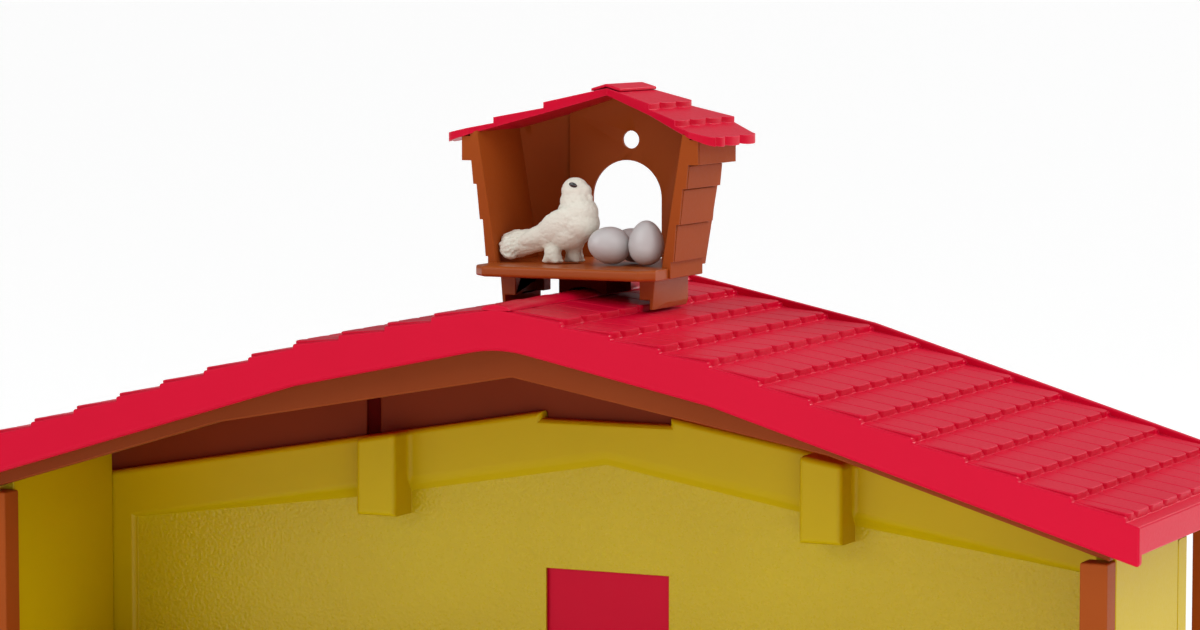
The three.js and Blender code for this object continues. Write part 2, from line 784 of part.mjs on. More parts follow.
const shutterLow = windowSill - windowFrameWidth + lugHeight / 2 + fit;
const shutterHigh = windowTop + windowFrameWidth - lugHeight / 2 - fit;

// Stored folded back, flat beside the window.
function shutter(place, hand) {
  const x = place + hand * shutterPinX;
  const far = x + hand * (shutterPinX - fit);
  const slab = block([Math.min(x, far), Math.max(x, far)],
    [shutterY - shutterStock / 2, shutterY + shutterStock / 2], [shutterLow, shutterHigh]);
  const slats = [];
  const pitch = (shutterHigh - shutterLow) / slatCount;
  for (let i = 1; i < slatCount; i++) {
    const z = shutterLow + i * pitch;
    const [a, b] = [x + hand * (shutterBarrel + slatMargin), far + hand * overrun];
    slats.push(block([Math.min(a, b), Math.max(a, b)],
      [shutterY + shutterStock / 2 - plankGroove, shutterY + shutterStock / 2 + overrun],
      [z - plankGroove / 2, z + plankGroove / 2]));
  }
  const knuckle = prism("z", circle(x, shutterY, shutterBarrel), shutterLow, shutterHigh);
  const bore = prism("z", circle(x, shutterY, pinRadius + fit), shutterLow - overrun, shutterHigh + overrun);
  return cut(join([cut(slab, slats), knuckle]), [bore]);
}

function shutterPin(place, hand) {
  return pin(place + hand * shutterPinX, shutterY,
    windowSill - windowFrameWidth, windowTop + windowFrameWidth);
}

function sideWindowFrame(side) {
  const [near, far] = [side * (wallHalfWidth + fit), side * (wallHalfWidth + fit + trimStock)];
  const width = windowFrameWidth;
  const across = [Math.min(near, far), Math.max(near, far)];
  const outer = block(across,
    [sideWindowPlace - sideWindowHalfWidth - width, sideWindowPlace + sideWindowHalfWidth + width],
    [sideWindowSill - width, sideWindowTop + width]);
  const inner = block([across[0] - overrun, across[1] + overrun],
    [sideWindowPlace - sideWindowHalfWidth, sideWindowPlace + sideWindowHalfWidth],
    [sideWindowSill, sideWindowTop]);
  return cut(outer, [inner]);
}

// Dovecote

const coteInner = (z) => coteHalfWidth + coteLean * z;

function coteFloorPlate() {
  const back = bayDepth + bayStock + fit;
  const [half, front] = [floorHalfWidth, -floorPorch];
  const plate = prism("z", [
    [-half, front + floorChamfer], [-half + floorChamfer, front],
    [half - floorChamfer, front], [half, front + floorChamfer],
    [half, coteDepth], [bayHalfWidth + bayStock, back],
    [-bayHalfWidth - bayStock, back], [-half, coteDepth],
  ], -floorStock, 0);
  const legs = [-1, 1].map((side) => {
    const inner = legHalfWidth - legFace;
    const body = prism("y", mirrored([
      [inner, -floorStock + fit], [inner, -legDrop + legNotch],
      [legHalfWidth - legFoot, -legDrop + legNotch], [legHalfWidth - legFoot, -legDrop],
      [legHalfWidth, -legDrop], [legHalfWidth, -floorStock + fit],
    ], side), -legInset, -legInset + legDepth);
    const [a, b] = [side * (inner - overrun), side * (legHalfWidth - legWeb)];
    const hollow = block([Math.min(a, b), Math.max(a, b)],
      [-legInset + legFace, -legInset + legDepth - legFace], [-legDrop - overrun, -floorStock]);
    return cut(body, [hollow]);
  });
  return join([plate, ...legs]);
}

function coteSaddle() {
  const body = block([-saddleHalfWidth, saddleHalfWidth], [saddleFront, saddleBack],
    [-saddleDrop, -floorStock - fit]);
  const run = [saddleFront - overrun, saddleBack + overrun];
  const half = capHalfWidth + capFlare + fit;
  const cap = prism("y", capOutline(capFlare + fit).map(([x, z]) => [x, z - coteFloor]), ...run);
  const below = block([-half, half], run, [-saddleDrop - overrun, ridge + fit * 2 - coteFloor]);
  return cut(body, [cap, below]);
}

const coteUnder = (x) => coteSoffit - coteSoffitPitch * Math.abs(x);
const coteLine = (x) => coteRidge - cotePitch * Math.abs(x);

function coteSideWall(side) {
  const under = (x) => coteUnder(x) - fit;
  const skin = floorHalfWidth + fit;
  const innerTop = coteInner(under(coteInner(shingleBottoms[0])));
  const core = [
    [coteInner(fit), fit], [skin, fit], [skin, shingleBottoms[4]],
    [shingleReaches[4], shingleBottoms[4]],
    [coteInner(shingleBottoms[0]) + coteWall, shingleBottoms[0]],
    [innerTop + coteWall, under(innerTop + coteWall)],
    [innerTop, under(innerTop)],
  ];
  const tail = [
    [coteInner(fit), fit], [coteInner(fit) + coteWall - fit, fit],
    [innerTop + coteWall, under(innerTop + coteWall)], [innerTop, under(innerTop)],
  ];
  const rows = shingleBottoms.slice(0, 4).map((low, i) => {
    const high = i === 0 ? under(shingleReaches[0] + shingleTuck) : shingleBottoms[i - 1];
    const reach = i === 0 ? shingleReaches[0] : shingleReaches[i - 1] - shingleTuck;
    const inner = coteInner(low) + coteWall / 2;
    return prism("y", mirrored([
      [inner, low], [shingleReaches[i], low], [reach, high], [coteInner(high) + coteWall / 2, high],
    ], side), i === 0 ? 0 : shingleMargin, coteDepth);
  });
  return join([
    prism("y", mirrored(core, side), 0, coteDepth),
    prism("y", mirrored(tail, side), coteDepth - fit, coteDepth + coteWallTail),
    ...rows,
  ]);
}

// A wall that joins two upright edges: its corners are (x, y) at the foot and at the head.
function slantingWall(foot, head, low, high) {
  const geometry = new THREE.BoxGeometry(1, 1, 1);
  const places = geometry.attributes.position;
  for (let i = 0; i < places.count; i++) {
    const corner = (places.getX(i) > 0 ? 1 : 0) + (places.getY(i) > 0 ? 2 : 0);
    const raised = places.getZ(i) > 0;
    const [x, y] = (raised ? head : foot)[corner];
    places.setXYZ(i, x, y, raised ? high : low);
  }
  return solid(geometry);
}

// The bay: a back wall with the arch, and a slanting wall on each side of it.
function coteBackWall() {
  const outer = bayDepth + bayStock;
  const start = coteDepth + coteWallTail + fit;
  const slants = [-1, 1].map((side) => {
    const corners = (z) => {
      const near = side * (coteInner(z) + fit);
      const far = side * (coteInner(z) + coteWall);
      const [left, right] = [Math.min(near, far), Math.max(near, far)];
      const [a, b] = [side * (bayHalfWidth - bayStock / 2), side * (bayHalfWidth + bayStock / 2)];
      return [[left, start], [right, start], [Math.min(a, b), outer], [Math.max(a, b), outer]];
    };
    return slantingWall(corners(fit), corners(coteSoffit), fit, coteSoffit);
  });
  const wall = block([-bayHalfWidth, bayHalfWidth], [bayDepth, outer], [fit, coteSoffit]);
  const below = prism("y", [
    [-coteEave, -overrun], [coteEave, -overrun], [coteEave, coteUnder(coteEave) - fit],
    [0, coteUnder(0) - fit], [-coteEave, coteUnder(coteEave) - fit],
  ], 0, outer + overrun);
  const arch = [[-archHalfWidth, -overrun], [archHalfWidth, -overrun]];
  const steps = 12;
  for (let i = 0; i <= steps; i++) {
    const turn = (Math.PI * i) / steps;
    arch.push([archHalfWidth * Math.cos(turn), archSpring + archHalfWidth * Math.sin(turn)]);
  }
  const run = [bayDepth - bayStock, outer + overrun];
  return cut(join([wall, ...slants]).intersect(below), [
    prism("y", arch, ...run), prism("y", circle(0, holeHeight, holeRadius, 14), ...run)]);
}

// Half of the roof seen from above: its front verge sweeps forward from the ridge to the eave.
function coteRoofPlan() {
  const [first, second] = coteCourseEnds;
  return [
    [0, coteVerge[0]], [first, coteVerge[1]], [second, coteVerge[2]],
    [coteEave - coteCorner * 2, coteEaveFront], [coteEave - coteCorner / 2, coteEaveFront],
    [coteEave, coteEaveFront + coteCorner / 2], [coteEave, coteEaveBack - coteCorner / 2],
    [coteEave - coteCorner / 4, coteEaveBack], [second, coteBack], [0, coteBack],
  ];
}

function coteTiles(k, side) {
  const ends = [0, ...coteCourseEnds, coteEave];
  const [start, end] = [ends[k], ends[k + 1]];
  const { tiles, halfTile } = coteTileRows[k];
  const back = k === coteCourseEnds.length ? coteEaveBack : coteBack;
  const first = back - halfTile - tiles * coteTileWidth;
  const from = Math.max(start - coteLip, coteCapReach + fit);
  const notch = coteTileNotch;
  const plan = [[from, coteEaveFront], [end, coteEaveFront]];
  for (let i = 0; i <= tiles; i++) {
    const seam = first + i * coteTileWidth;
    if (seam > back - notch) break;
    plan.push([end, seam - notch], [end - notch, seam], [end, seam + notch]);
  }
  plan.push([end, coteBack], [from, coteBack]);
  const rise = (x) => coteLine(x) + coteTileHeight + (coteLip * (x - start)) / (end - start);
  const section = [[from, coteUnder(from) + fit], [end, coteUnder(end) + fit], [end, rise(end)],
    [from, rise(from)]];
  return prism("z", mirrored(plan, side), coteUnder(end), coteRidge + coteLip)
    .intersect(prism("y", mirrored(section, side), coteEaveFront, coteBack));
}

function coteSlope(side) {
  const ends = [...coteCourseEnds, coteEave];
  const points = [[0, coteUnder(0)], [0, coteLine(0)]];
  ends.forEach((end, k) => {
    if (k > 0) points.push([ends[k - 1], coteLine(ends[k - 1])]);
    points.push([end, coteLine(end) + coteLip]);
  });
  points.push([coteEave, coteUnder(coteEave)]);
  const board = prism("y", mirrored(points, side), coteEaveFront, coteBack);
  const tiles = ends.map((end, k) => coteTiles(k, side));
  return join([board, ...tiles]).intersect(
    prism("z", mirrored(coteRoofPlan(), side), coteUnder(coteEave) - overrun, coteRidge + overrun));
}

function coteRoof() {
  return join([coteSlope(-1), coteSlope(1)]);
}

function coteRidgeCap() {
  const seat = (x) => coteLine(x) + fit + (coteLip * x) / coteCourseEnds[0];
  const half = [[coteCapReach, seat(coteCapReach)], [coteCapReach, seat(coteCapReach) + coteCapHeight]];
  return prism("y", [
    [0, seat(0)], ...half, [0, seat(0) + coteCapHeight], ...mirrored(half, -1).reverse(),
  ], coteVerge[0] - coteCapHeight, coteBack);
}

// Dove and eggs

function dove() {
  const { x, y } = dovePlace;
  const at = (dx, z, dy = 0) => ({ x: x + dx, y: y + dy, z });
  const tailPoints = [
    [x + doveTail.root, doveTail.z + doveTail.rootHeight / 2 + doveTail.tilt],
    [x + doveTail.root, doveTail.z - doveTail.rootHeight / 2 + doveTail.tilt],
    [x + doveTail.tip + doveTail.tilt, doveTail.z - doveTail.tipHeight / 2],
    [x + doveTail.tip, doveTail.z],
    [x + doveTail.tip + doveTail.tilt / 2, doveTail.z + doveTail.tipHeight / 2],
  ];
  const tail = prism("y", tailPoints, y - doveTail.half, y + doveTail.half);
  const neck = new THREE.CylinderGeometry(doveNeck.top, doveNeck.bottom, doveNeck.high - doveNeck.low, 12);
  neck.rotateX(Math.PI / 2);
  neck.translate(x + doveNeck.x, y, (doveNeck.high + doveNeck.low) / 2);
  const beak = new THREE.ConeGeometry(doveBeak.radius, doveBeak.reach, 6);
  beak.rotateZ(-Math.PI / 2);
  beak.translate(x + doveHead.x + doveHead.radius, y, doveBeak.z);
  const legs = [-1, 1].map((hand) => {
    const leg = new THREE.CylinderGeometry(doveLeg.waist, doveLeg.foot, doveLeg.top, 8);
    leg.rotateX(Math.PI / 2);
    leg.translate(x + hand * doveLeg.stagger, y + hand * doveLeg.spread, doveLeg.top / 2 + fit);
    return solid(leg);
  });
  const whole = join([
    ball(at(0, doveBody.centre), [doveBody.reach, doveBody.half, doveBody.height], doveBody.pitch),
    ball(at(doveChest.x, doveChest.z), [doveChest.radius, doveChest.half, doveChest.radius]),
    ball(at(doveHead.x, doveHead.z), [doveHead.radius, doveHead.radius, doveHead.radius], 0, 12, 8),
    tail, solid(neck), solid(beak), ...legs,
  ]);
  return whole;
}

// An egg stands on its blunt end, then leans by tilt towards turn.
function egg({ size, x, y, tilt, turn }) {
  const [radius, length] = [eggRadius * size, eggLength * size];
  const points = [];
  const steps = 10;
  for (let i = 0; i <= steps; i++) {
    const share = i / steps;
    const angle = Math.PI * share;
    const width = radius * Math.sin(angle) * (1 + eggBluntShare * Math.cos(angle));
    points.push(new THREE.Vector2(i === 0 || i === steps ? 0 : width, (-length / 2) * Math.cos(angle)));
  }
  const geometry = new THREE.LatheGeometry(points, 14);
  geometry.rotateX(Math.PI / 2);
  geometry.rotateY(tilt);
  geometry.rotateZ(turn);
  geometry.computeBoundingBox();
  geometry.translate(x * eggRadius, y * eggRadius, fit - geometry.boundingBox.min.z);
  return solid(geometry);
}

// The barn, assembled

const barn = new THREE.Group();

barn.add(
  mesh("base_plate", basePlate(), stone()),
  mesh("front_wall", frontWall(), yellow()),
  mesh("gable_board", gableBoard(), brown()),
  mesh("ridge_caps", ridgeCaps(), red()),
  mesh("play_side_truss", truss(trussFront), brown()),
  mesh("porch_truss", truss(-trussFront - boardStock), brown()),
  mesh("loft_floor", loftFloor(), brown()),
  mesh("loft_beam", loftBeam(), brown()),
  mesh("loft_ladder", loftLadder(), brown()),
  mesh("stall_divider", stallDivider(), brown()),
  mesh("door_frame", doorFrame(), brown()),
  mesh("turn_button", turnButton(), brown()),
  mesh("hatch_frame", hatchFrame(), brown()),
  mesh("hatch_leaf", hatchLeaf(), red()),
  mesh("hatch_pull", hatchPull(), brown()),
  mesh("hatch_pin", pin(hatchHalfWidth, hingeY, hatchSill, hatchTop), steel()),
);

for (const [hand, side] of [["left", -1], ["right", 1]]) {
  const place = side * windowPlace;
  barn.add(
    mesh(`side_wall_${hand}`, sideWall(side), yellow()),
    mesh(`side_window_frame_${hand}`, sideWindowFrame(side), brown()),
    mesh(`roof_${hand}`, roofHalf(side), red()),
    mesh(`play_side_post_${hand}`, post(side, trussFront), brown()),
    mesh(`porch_post_${hand}`, post(side, -trussFront - boardStock), brown()),
    mesh(`door_leaf_${hand}`, doorLeaf(side), red()),
    mesh(`door_brace_${hand}`, doorBrace(side), brown()),
    mesh(`door_pull_${hand}`, doorPull(side), steel()),
    mesh(`door_pin_${hand}`, pin(side * doorHalfWidth, hingeY, baseThickness + fit * 2, doorTop), steel()),
    mesh(`window_frame_${hand}`, windowFrame(side), brown()),
  );
  for (const [edge, turn] of [["inner", -side], ["outer", side]]) {
    barn.add(
      mesh(`shutter_${hand}_${edge}`, shutter(place, turn), red()),
      mesh(`shutter_pin_${hand}_${edge}`, shutterPin(place, turn), steel()),
    );
  }
}

const dovecote = new THREE.Group();
dovecote.position.set(0, coteFrontY, coteFloor);
dovecote.add(
  mesh("dovecote_floor", coteFloorPlate(), brown()),
  mesh("dovecote_saddle", coteSaddle(), brown()),
  mesh("dovecote_wall_left", coteSideWall(-1), brown()),
  mesh("dovecote_wall_right", coteSideWall(1), brown()),
  mesh("dovecote_back", coteBackWall(), brown()),
  mesh("dovecote_roof", coteRoof(), red()),
  mesh("dovecote_ridge_cap", coteRidgeCap(), red()),
  mesh("dove", dove(), white()),
  ...eggShares.map((shares, i) => mesh(`egg_${i + 1}`, egg(shares), lilac())),
);
barn.add(dovecote);

export default barn;
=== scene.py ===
import json
import math

import bpy
from mathutils import Matrix, Vector, noise


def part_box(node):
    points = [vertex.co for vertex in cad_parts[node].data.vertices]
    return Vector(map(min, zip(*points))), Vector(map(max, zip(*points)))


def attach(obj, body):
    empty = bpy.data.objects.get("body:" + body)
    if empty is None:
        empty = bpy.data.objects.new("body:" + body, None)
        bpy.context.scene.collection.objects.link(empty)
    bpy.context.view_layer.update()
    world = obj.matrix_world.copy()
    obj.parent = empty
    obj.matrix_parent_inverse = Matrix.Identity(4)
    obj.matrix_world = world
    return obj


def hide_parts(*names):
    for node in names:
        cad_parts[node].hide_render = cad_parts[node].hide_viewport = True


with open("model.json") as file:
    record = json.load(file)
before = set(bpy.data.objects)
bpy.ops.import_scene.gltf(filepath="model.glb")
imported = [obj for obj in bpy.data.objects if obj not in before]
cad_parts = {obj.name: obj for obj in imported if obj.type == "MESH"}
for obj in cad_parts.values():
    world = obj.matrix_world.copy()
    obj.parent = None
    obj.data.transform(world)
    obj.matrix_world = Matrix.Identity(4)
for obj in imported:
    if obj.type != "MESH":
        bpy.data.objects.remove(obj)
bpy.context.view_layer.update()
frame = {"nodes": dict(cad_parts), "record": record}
record = frame["record"]
mm = 0.001
slotOf = {row["node"]: row["material_slot"] for row in record["subparts"]}
bodyOf = {node: body for body, nodes in record["behaviour"]["bodies"].items() for node in nodes}
nodeStep = 200
print("frame loaded:", len(slotOf), "nodes")


def addNode(tree, kind, settings=None, **attributes):
    # the nodes of a tree stand in a row, in the order they are made
    node = tree.nodes.new("ShaderNode" + kind)
    node.location.x = nodeStep * len(tree.nodes)
    for name, value in attributes.items():
        setattr(node, name, value)
    for name, value in (settings or {}).items():
        node.inputs[name].default_value = value
    return node


def wire(tree, *links):
    # each link names a node and its output, then a node and its input
    for source, output, target, entry in links:
        tree.links.new(source.outputs[output], target.inputs[entry])


def newGroup(name, inputs, *outputs):
    # every input is a number, and so is every output but the normal
    tree = bpy.data.node_groups.new(name, "ShaderNodeTree")
    for label, value in inputs.items():
        socket = tree.interface.new_socket(name=label, in_out="INPUT",
                                           socket_type="NodeSocketFloat")
        socket.default_value = value
    for label in outputs:
        kind = "Vector" if label == "Normal" else "Float"
        tree.interface.new_socket(name=label, in_out="OUTPUT", socket_type="NodeSocket" + kind)
    start, end = tree.nodes.new("NodeGroupInput"), tree.nodes.new("NodeGroupOutput")
    end.location.y = -nodeStep
    return tree, start, end


def mouldGrainGroup():
    # fine skin of a moulded part: a slow change of tone, a finer one of gloss, and a bump
    tree, start, end = newGroup("mouldGrain", {"Scale": 400.0, "Depth": 0.05},
                                "Tone", "Gloss", "Normal")
    coords = addNode(tree, "TexCoord")
    slow = addNode(tree, "TexNoise", {"Scale": 22.0, "Detail": 3.0})
    fine = addNode(tree, "TexNoise", {"Detail": 3.0, "Roughness": 0.6})
    bump = addNode(tree, "Bump", {"Distance": 0.0004})
    wire(tree, (coords, "Object", slow, "Vector"), (coords, "Object", fine, "Vector"),
         (start, "Scale", fine, "Scale"), (start, "Depth", bump, "Strength"),
         (fine, "Fac", bump, "Height"), (slow, "Fac", end, "Tone"), (fine, "Fac", end, "Gloss"),
         (bump, "Normal", end, "Normal"))
    return tree


def paintedEdgeHighlightGroup():
    # mask of the outer edges, which get a paler colour as a painted highlight
    tree, start, end = newGroup("edgeRub", {"Width": 0.0006, "Amount": 1.0}, "Mask")
    rounded = addNode(tree, "Bevel", samples=3)
    plain = addNode(tree, "NewGeometry")
    dot = addNode(tree, "VectorMath", operation="DOT_PRODUCT")
    flip = addNode(tree, "Math", {0: 1.0}, operation="SUBTRACT")
    grow = addNode(tree, "Math", operation="MULTIPLY", use_clamp=True)
    wire(tree, (start, "Width", rounded, "Radius"), (rounded, "Normal", dot, 0),
         (plain, "Normal", dot, 1), (dot, "Value", flip, 1), (flip, "Value", grow, 0),
         (start, "Amount", grow, 1), (grow, "Value", end, "Mask"))
    return tree


def dustAndSheenGroup():
    # faint pale film on faces that look up, broken by noise: dust, and a painted sheen where light
    # falls on the tops
    tree, start, end = newGroup("dustFilm", {"Amount": 0.2}, "Mask")
    coords = addNode(tree, "TexCoord")
    cloud = addNode(tree, "TexNoise", {"Scale": 60.0, "Detail": 4.0})
    plain = addNode(tree, "NewGeometry")
    split = addNode(tree, "SeparateXYZ")
    lift = addNode(tree, "MapRange", {"From Min": 0.55, "From Max": 1.0})
    patch = addNode(tree, "MapRange", {"From Min": 0.3, "From Max": 0.75})
    both = addNode(tree, "Math", operation="MULTIPLY")
    scaled = addNode(tree, "Math", operation="MULTIPLY", use_clamp=True)
    wire(tree, (coords, "Object", cloud, "Vector"), (plain, "Normal", split, "Vector"),
         (split, "Z", lift, "Value"), (cloud, "Fac", patch, "Value"), (lift, "Result", both, 0),
         (patch, "Result", both, 1), (both, "Value", scaled, 0), (start, "Amount", scaled, 1),
         (scaled, "Value", end, "Mask"))
    return tree


def orangePeelGroup():
    # coarse pebbled skin of the recessed wall panels
    tree, start, end = newGroup("orangePeel", {"Scale": 700.0, "Depth": 0.5}, "Normal")
    coords = addNode(tree, "TexCoord")
    cells = addNode(tree, "TexVoronoi", {"Randomness": 1.0}, feature="SMOOTH_F1")
    swirl = addNode(tree, "TexNoise", {"Detail": 2.0})
    blend = addNode(tree, "Math", operation="ADD")
    bump = addNode(tree, "Bump", {"Distance": 0.0005})
    wire(tree, (coords, "Object", cells, "Vector"), (coords, "Object", swirl, "Vector"),
         (start, "Scale", cells, "Scale"), (start, "Scale", swirl, "Scale"),
         (cells, "Distance", blend, 0), (swirl, "Fac", blend, 1),
         (blend, "Value", bump, "Height"), (start, "Depth", bump, "Strength"),
         (bump, "Normal", end, "Normal"))
    return tree


def featherHollowShadeGroup():
    # painted shade: a thin dark tint that stays in the hollows of the figure, where shade falls
    tree, start, end = newGroup("featherWash", {"Amount": 1.0, "Scale": 900.0}, "Mask", "Normal")
    plain = addNode(tree, "NewGeometry")
    hollow = addNode(tree, "MapRange", {
        "From Min": 0.5, "From Max": 0.44, "To Min": 0.0, "To Max": 1.0})
    scaled = addNode(tree, "Math", operation="MULTIPLY", use_clamp=True)
    coords = addNode(tree, "TexCoord")
    fine = addNode(tree, "TexNoise", {"Detail": 3.0})
    bump = addNode(tree, "Bump", {"Distance": 0.0004, "Strength": 0.6})
    wire(tree, (plain, "Pointiness", hollow, "Value"), (hollow, "Result", scaled, 0),
         (start, "Amount", scaled, 1), (scaled, "Value", end, "Mask"),
         (coords, "Object", fine, "Vector"), (start, "Scale", fine, "Scale"),
         (fine, "Fac", bump, "Height"), (bump, "Normal", end, "Normal"))
    return tree


mouldGrain = mouldGrainGroup()
edgeRub = paintedEdgeHighlightGroup()
dustFilm = dustAndSheenGroup()
orangePeel = orangePeelGroup()
featherWash = featherHollowShadeGroup()


def srgb(red, green, blue):
    def straight(value):
        value /= 255
        return value / 12.92 if value <= 0.04045 else ((value + 0.055) / 1.055) ** 2.4
    return (straight(red), straight(green), straight(blue), 1.0)


def placeGroup(tree, group, **values):
    return addNode(tree, "Group", values, node_tree=group)


def mixColours(tree, mask, first, second):
    # each colour is a socket, or red, green and blue of 255
    mix = addNode(tree, "Mix", data_type="RGBA")
    tree.links.new(mask, mix.inputs[0])
    for socket, colour in ((mix.inputs[6], first), (mix.inputs[7], second)):
        if isinstance(colour, tuple):
            socket.default_value = srgb(*colour)
        else:
            tree.links.new(colour, socket)
    return mix.outputs[2]


def newMaterial(name, roughness, specular, coat=0.0, metallic=0.0):
    material = bpy.data.materials.new(name)
    material.use_nodes = True
    inputs = material.node_tree.nodes["Principled BSDF"].inputs
    values = {"Roughness": roughness, "Specular IOR Level": specular, "Metallic": metallic,
              "Coat Weight": coat, "Coat Roughness": 0.2}
    for label, value in values.items():
        inputs[label].default_value = value
    return material


# a look's dust colour and amount make dust, with a painted sheen on faces that look up
commonLook = {  # what a look leaves out
    "spread": 0.05, "specular": 0.07, "coat": 0.0, "metallic": 0.0, "grainScale": 900.0,
    "grainDepth": 0.06, "rubWidth": 0.0005, "rubAmount": 0.7, "dustAmount": 0.06,
}
# a look's edge colour is a painted highlight along its rounded edges
looks = {
    "redPlastic": {
        "deep": (205, 2, 44), "pale": (214, 5, 50), "edge": (236, 66, 96),
        "dust": (226, 60, 84), "roughness": 0.34, "spread": 0.04, "specular": 0.1,
        "grainDepth": 0.05, "rubWidth": 0.0006, "rubAmount": 1.5,
    },
    "brownPlastic": {
        "deep": (154, 69, 20), "pale": (166, 79, 28), "edge": (186, 112, 62),
        "dust": (176, 112, 70), "roughness": 0.44,
    },
    "floorPlastic": {
        "deep": (160, 74, 24), "pale": (172, 84, 32), "edge": (190, 116, 66),
        "dust": (176, 110, 74), "roughness": 0.32, "spread": 0.04, "specular": 0.18,
        "grainDepth": 0.05, "dustAmount": 0.02,
    },
    # painted shade: a darker copy of the brown for the trusses under the roof
    "trussBrown": {
        "deep": (136, 57, 20), "pale": (148, 67, 27), "edge": (168, 96, 50),
        "dust": (150, 90, 58), "roughness": 0.44, "dustAmount": 0.03,
    },
    # painted shade: a darker copy of the brown for the gable board in the roof's shade
    "shadedBrown": {
        "deep": (116, 43, 15), "pale": (128, 51, 21), "edge": (150, 76, 40),
        "dust": (140, 80, 50), "roughness": 0.46, "rubAmount": 0.5, "dustAmount": 0.03,
    },
    # painted shade: a near-black brown for the saddle, which sits in shadow under the floor, and
    # for the gable board's groove
    "saddleShade": {
        "deep": (74, 12, 10), "pale": (90, 18, 13), "edge": (104, 30, 24),
        "dust": (70, 30, 24), "roughness": 0.6, "specular": 0.0, "rubWidth": 0.0004,
        "rubAmount": 0.4, "dustAmount": 0.0,
    },
    "yellowPlastic": {
        "deep": (196, 168, 2), "pale": (206, 178, 6), "edge": (214, 190, 40),
        "dust": (212, 194, 70), "roughness": 0.36, "specular": 0.14, "grainScale": 1100.0,
        "grainDepth": 0.08, "rubWidth": 0.0008, "rubAmount": 0.5, "dustAmount": 0.08,
    },
    "yellowPanel": {
        "deep": (198, 172, 6), "pale": (210, 186, 14), "edge": (216, 194, 50),
        "dust": (212, 194, 70), "roughness": 0.3, "specular": 0.32, "grainScale": 1100.0,
        "grainDepth": 0.08, "rubWidth": 0.0008, "rubAmount": 0.3,
        "peelScale": 900.0, "peelDepth": 0.4,
    },
    "stoneBase": {
        "deep": (122, 118, 108), "pale": (152, 148, 138), "edge": (176, 172, 162),
        "dust": (186, 182, 172), "roughness": 0.6, "spread": 0.08, "specular": 0.4,
        "grainScale": 500.0, "grainDepth": 0.3, "rubWidth": 0.0008, "dustAmount": 0.3,
    },
    "eggShell": {
        "deep": (198, 194, 193), "pale": (209, 205, 205), "edge": (212, 208, 208),
        "dust": (208, 202, 205), "roughness": 0.36, "spread": 0.03, "specular": 0.5,
        "grainScale": 1600.0, "grainDepth": 0.03, "rubWidth": 0.0003, "rubAmount": 0.1,
        "dustAmount": 0.1, "coat": 0.15,
    },
    "steelPin": {
        "deep": (176, 178, 182), "pale": (206, 208, 210), "roughness": 0.28, "spread": 0.08,
        "specular": 0.5, "metallic": 1.0, "grainScale": 1400.0, "grainDepth": 0.05,
    },
    # the dove's darker tint is painted shade for its hollows
    "doveWhite": {
        "deep": (231, 228, 212), "pale": (240, 238, 226), "wash": (168, 166, 146),
        "washAmount": 0.42, "washScale": 1200.0, "roughness": 0.6, "spread": 0.0,
        "specular": 0.25, "grainScale": 700.0,
    },
    "eyeBlack": {
        "deep": (14, 14, 16), "pale": (26, 26, 30), "roughness": 0.08, "spread": 0.0,
        "specular": 1.0, "grainScale": 3000.0, "grainDepth": 0.0,
    },
}


def lookMaterial(name, look):
    look = {**commonLook, **look}
    material = newMaterial(name, look["roughness"], look["specular"], look["coat"],
                           look["metallic"])
    tree = material.node_tree
    shader = tree.nodes["Principled BSDF"]
    grain = skin = placeGroup(tree, mouldGrain, Scale=look["grainScale"], Depth=look["grainDepth"])
    colour = mixColours(tree, grain.outputs["Tone"], look["deep"], look["pale"])
    if "edge" in look:  # painted edge highlights, and dust with a painted sheen over them
        highlight = placeGroup(tree, edgeRub, Width=look["rubWidth"], Amount=look["rubAmount"])
        dust = placeGroup(tree, dustFilm, Amount=look["dustAmount"])
        colour = mixColours(tree, highlight.outputs["Mask"], colour, look["edge"])
        colour = mixColours(tree, dust.outputs["Mask"], colour, look["dust"])
    # painted shade in the hollows of the dove
    if "wash" in look:
        skin = placeGroup(tree, featherWash, Amount=look["washAmount"], Scale=look["washScale"])
        colour = mixColours(tree, skin.outputs["Mask"], colour, look["wash"])
    if "peelDepth" in look:
        skin = placeGroup(tree, orangePeel, Scale=look["peelScale"], Depth=look["peelDepth"])
    if look["spread"]:  # the grain moves the roughness a little to both sides
        gloss = addNode(tree, "MapRange", {
            "From Min": 0.3, "From Max": 0.7, "To Min": look["roughness"] - look["spread"],
            "To Max": look["roughness"] + look["spread"]})
        wire(tree, (grain, "Gloss", gloss, "Value"), (gloss, "Result", shader, "Roughness"))
    tree.links.new(colour, shader.inputs["Base Color"])
    wire(tree, (skin, "Normal", shader, "Normal"))
    return material


finish = {name: lookMaterial(name, look) for name, look in looks.items()}
finishOfSlot = {
    "red_roof": "redPlastic", "brown_timber": "brownPlastic", "yellow_wall": "yellowPlastic",
    "base_stone": "stoneBase", "steel_pin": "steelPin", "dove_white": "doveWhite",
    "egg_lilac": "eggShell",
}
for node, piece in frame["nodes"].items():  # what no piece replaces keeps its node's shape
    piece.data.materials.clear()
    piece.data.materials.append(finish[finishOfSlot[slotOf[node]]])
print("materials:", len(finish))

near = 0.1  # mm, for edges and faces that are told apart by their place


def selectNone():
    if bpy.context.object and bpy.context.object.mode != "OBJECT":
        bpy.ops.object.mode_set(mode="OBJECT")
    bpy.ops.object.select_all(action="DESELECT")


def onlySelect(*chosen):
    selectNone()
    for piece in chosen:
        piece.select_set(True)
    bpy.context.view_layer.objects.active = chosen[0]


def editAll(piece):
    onlySelect(piece)
    bpy.ops.object.mode_set(mode="EDIT")
    bpy.ops.mesh.select_all(action="SELECT")


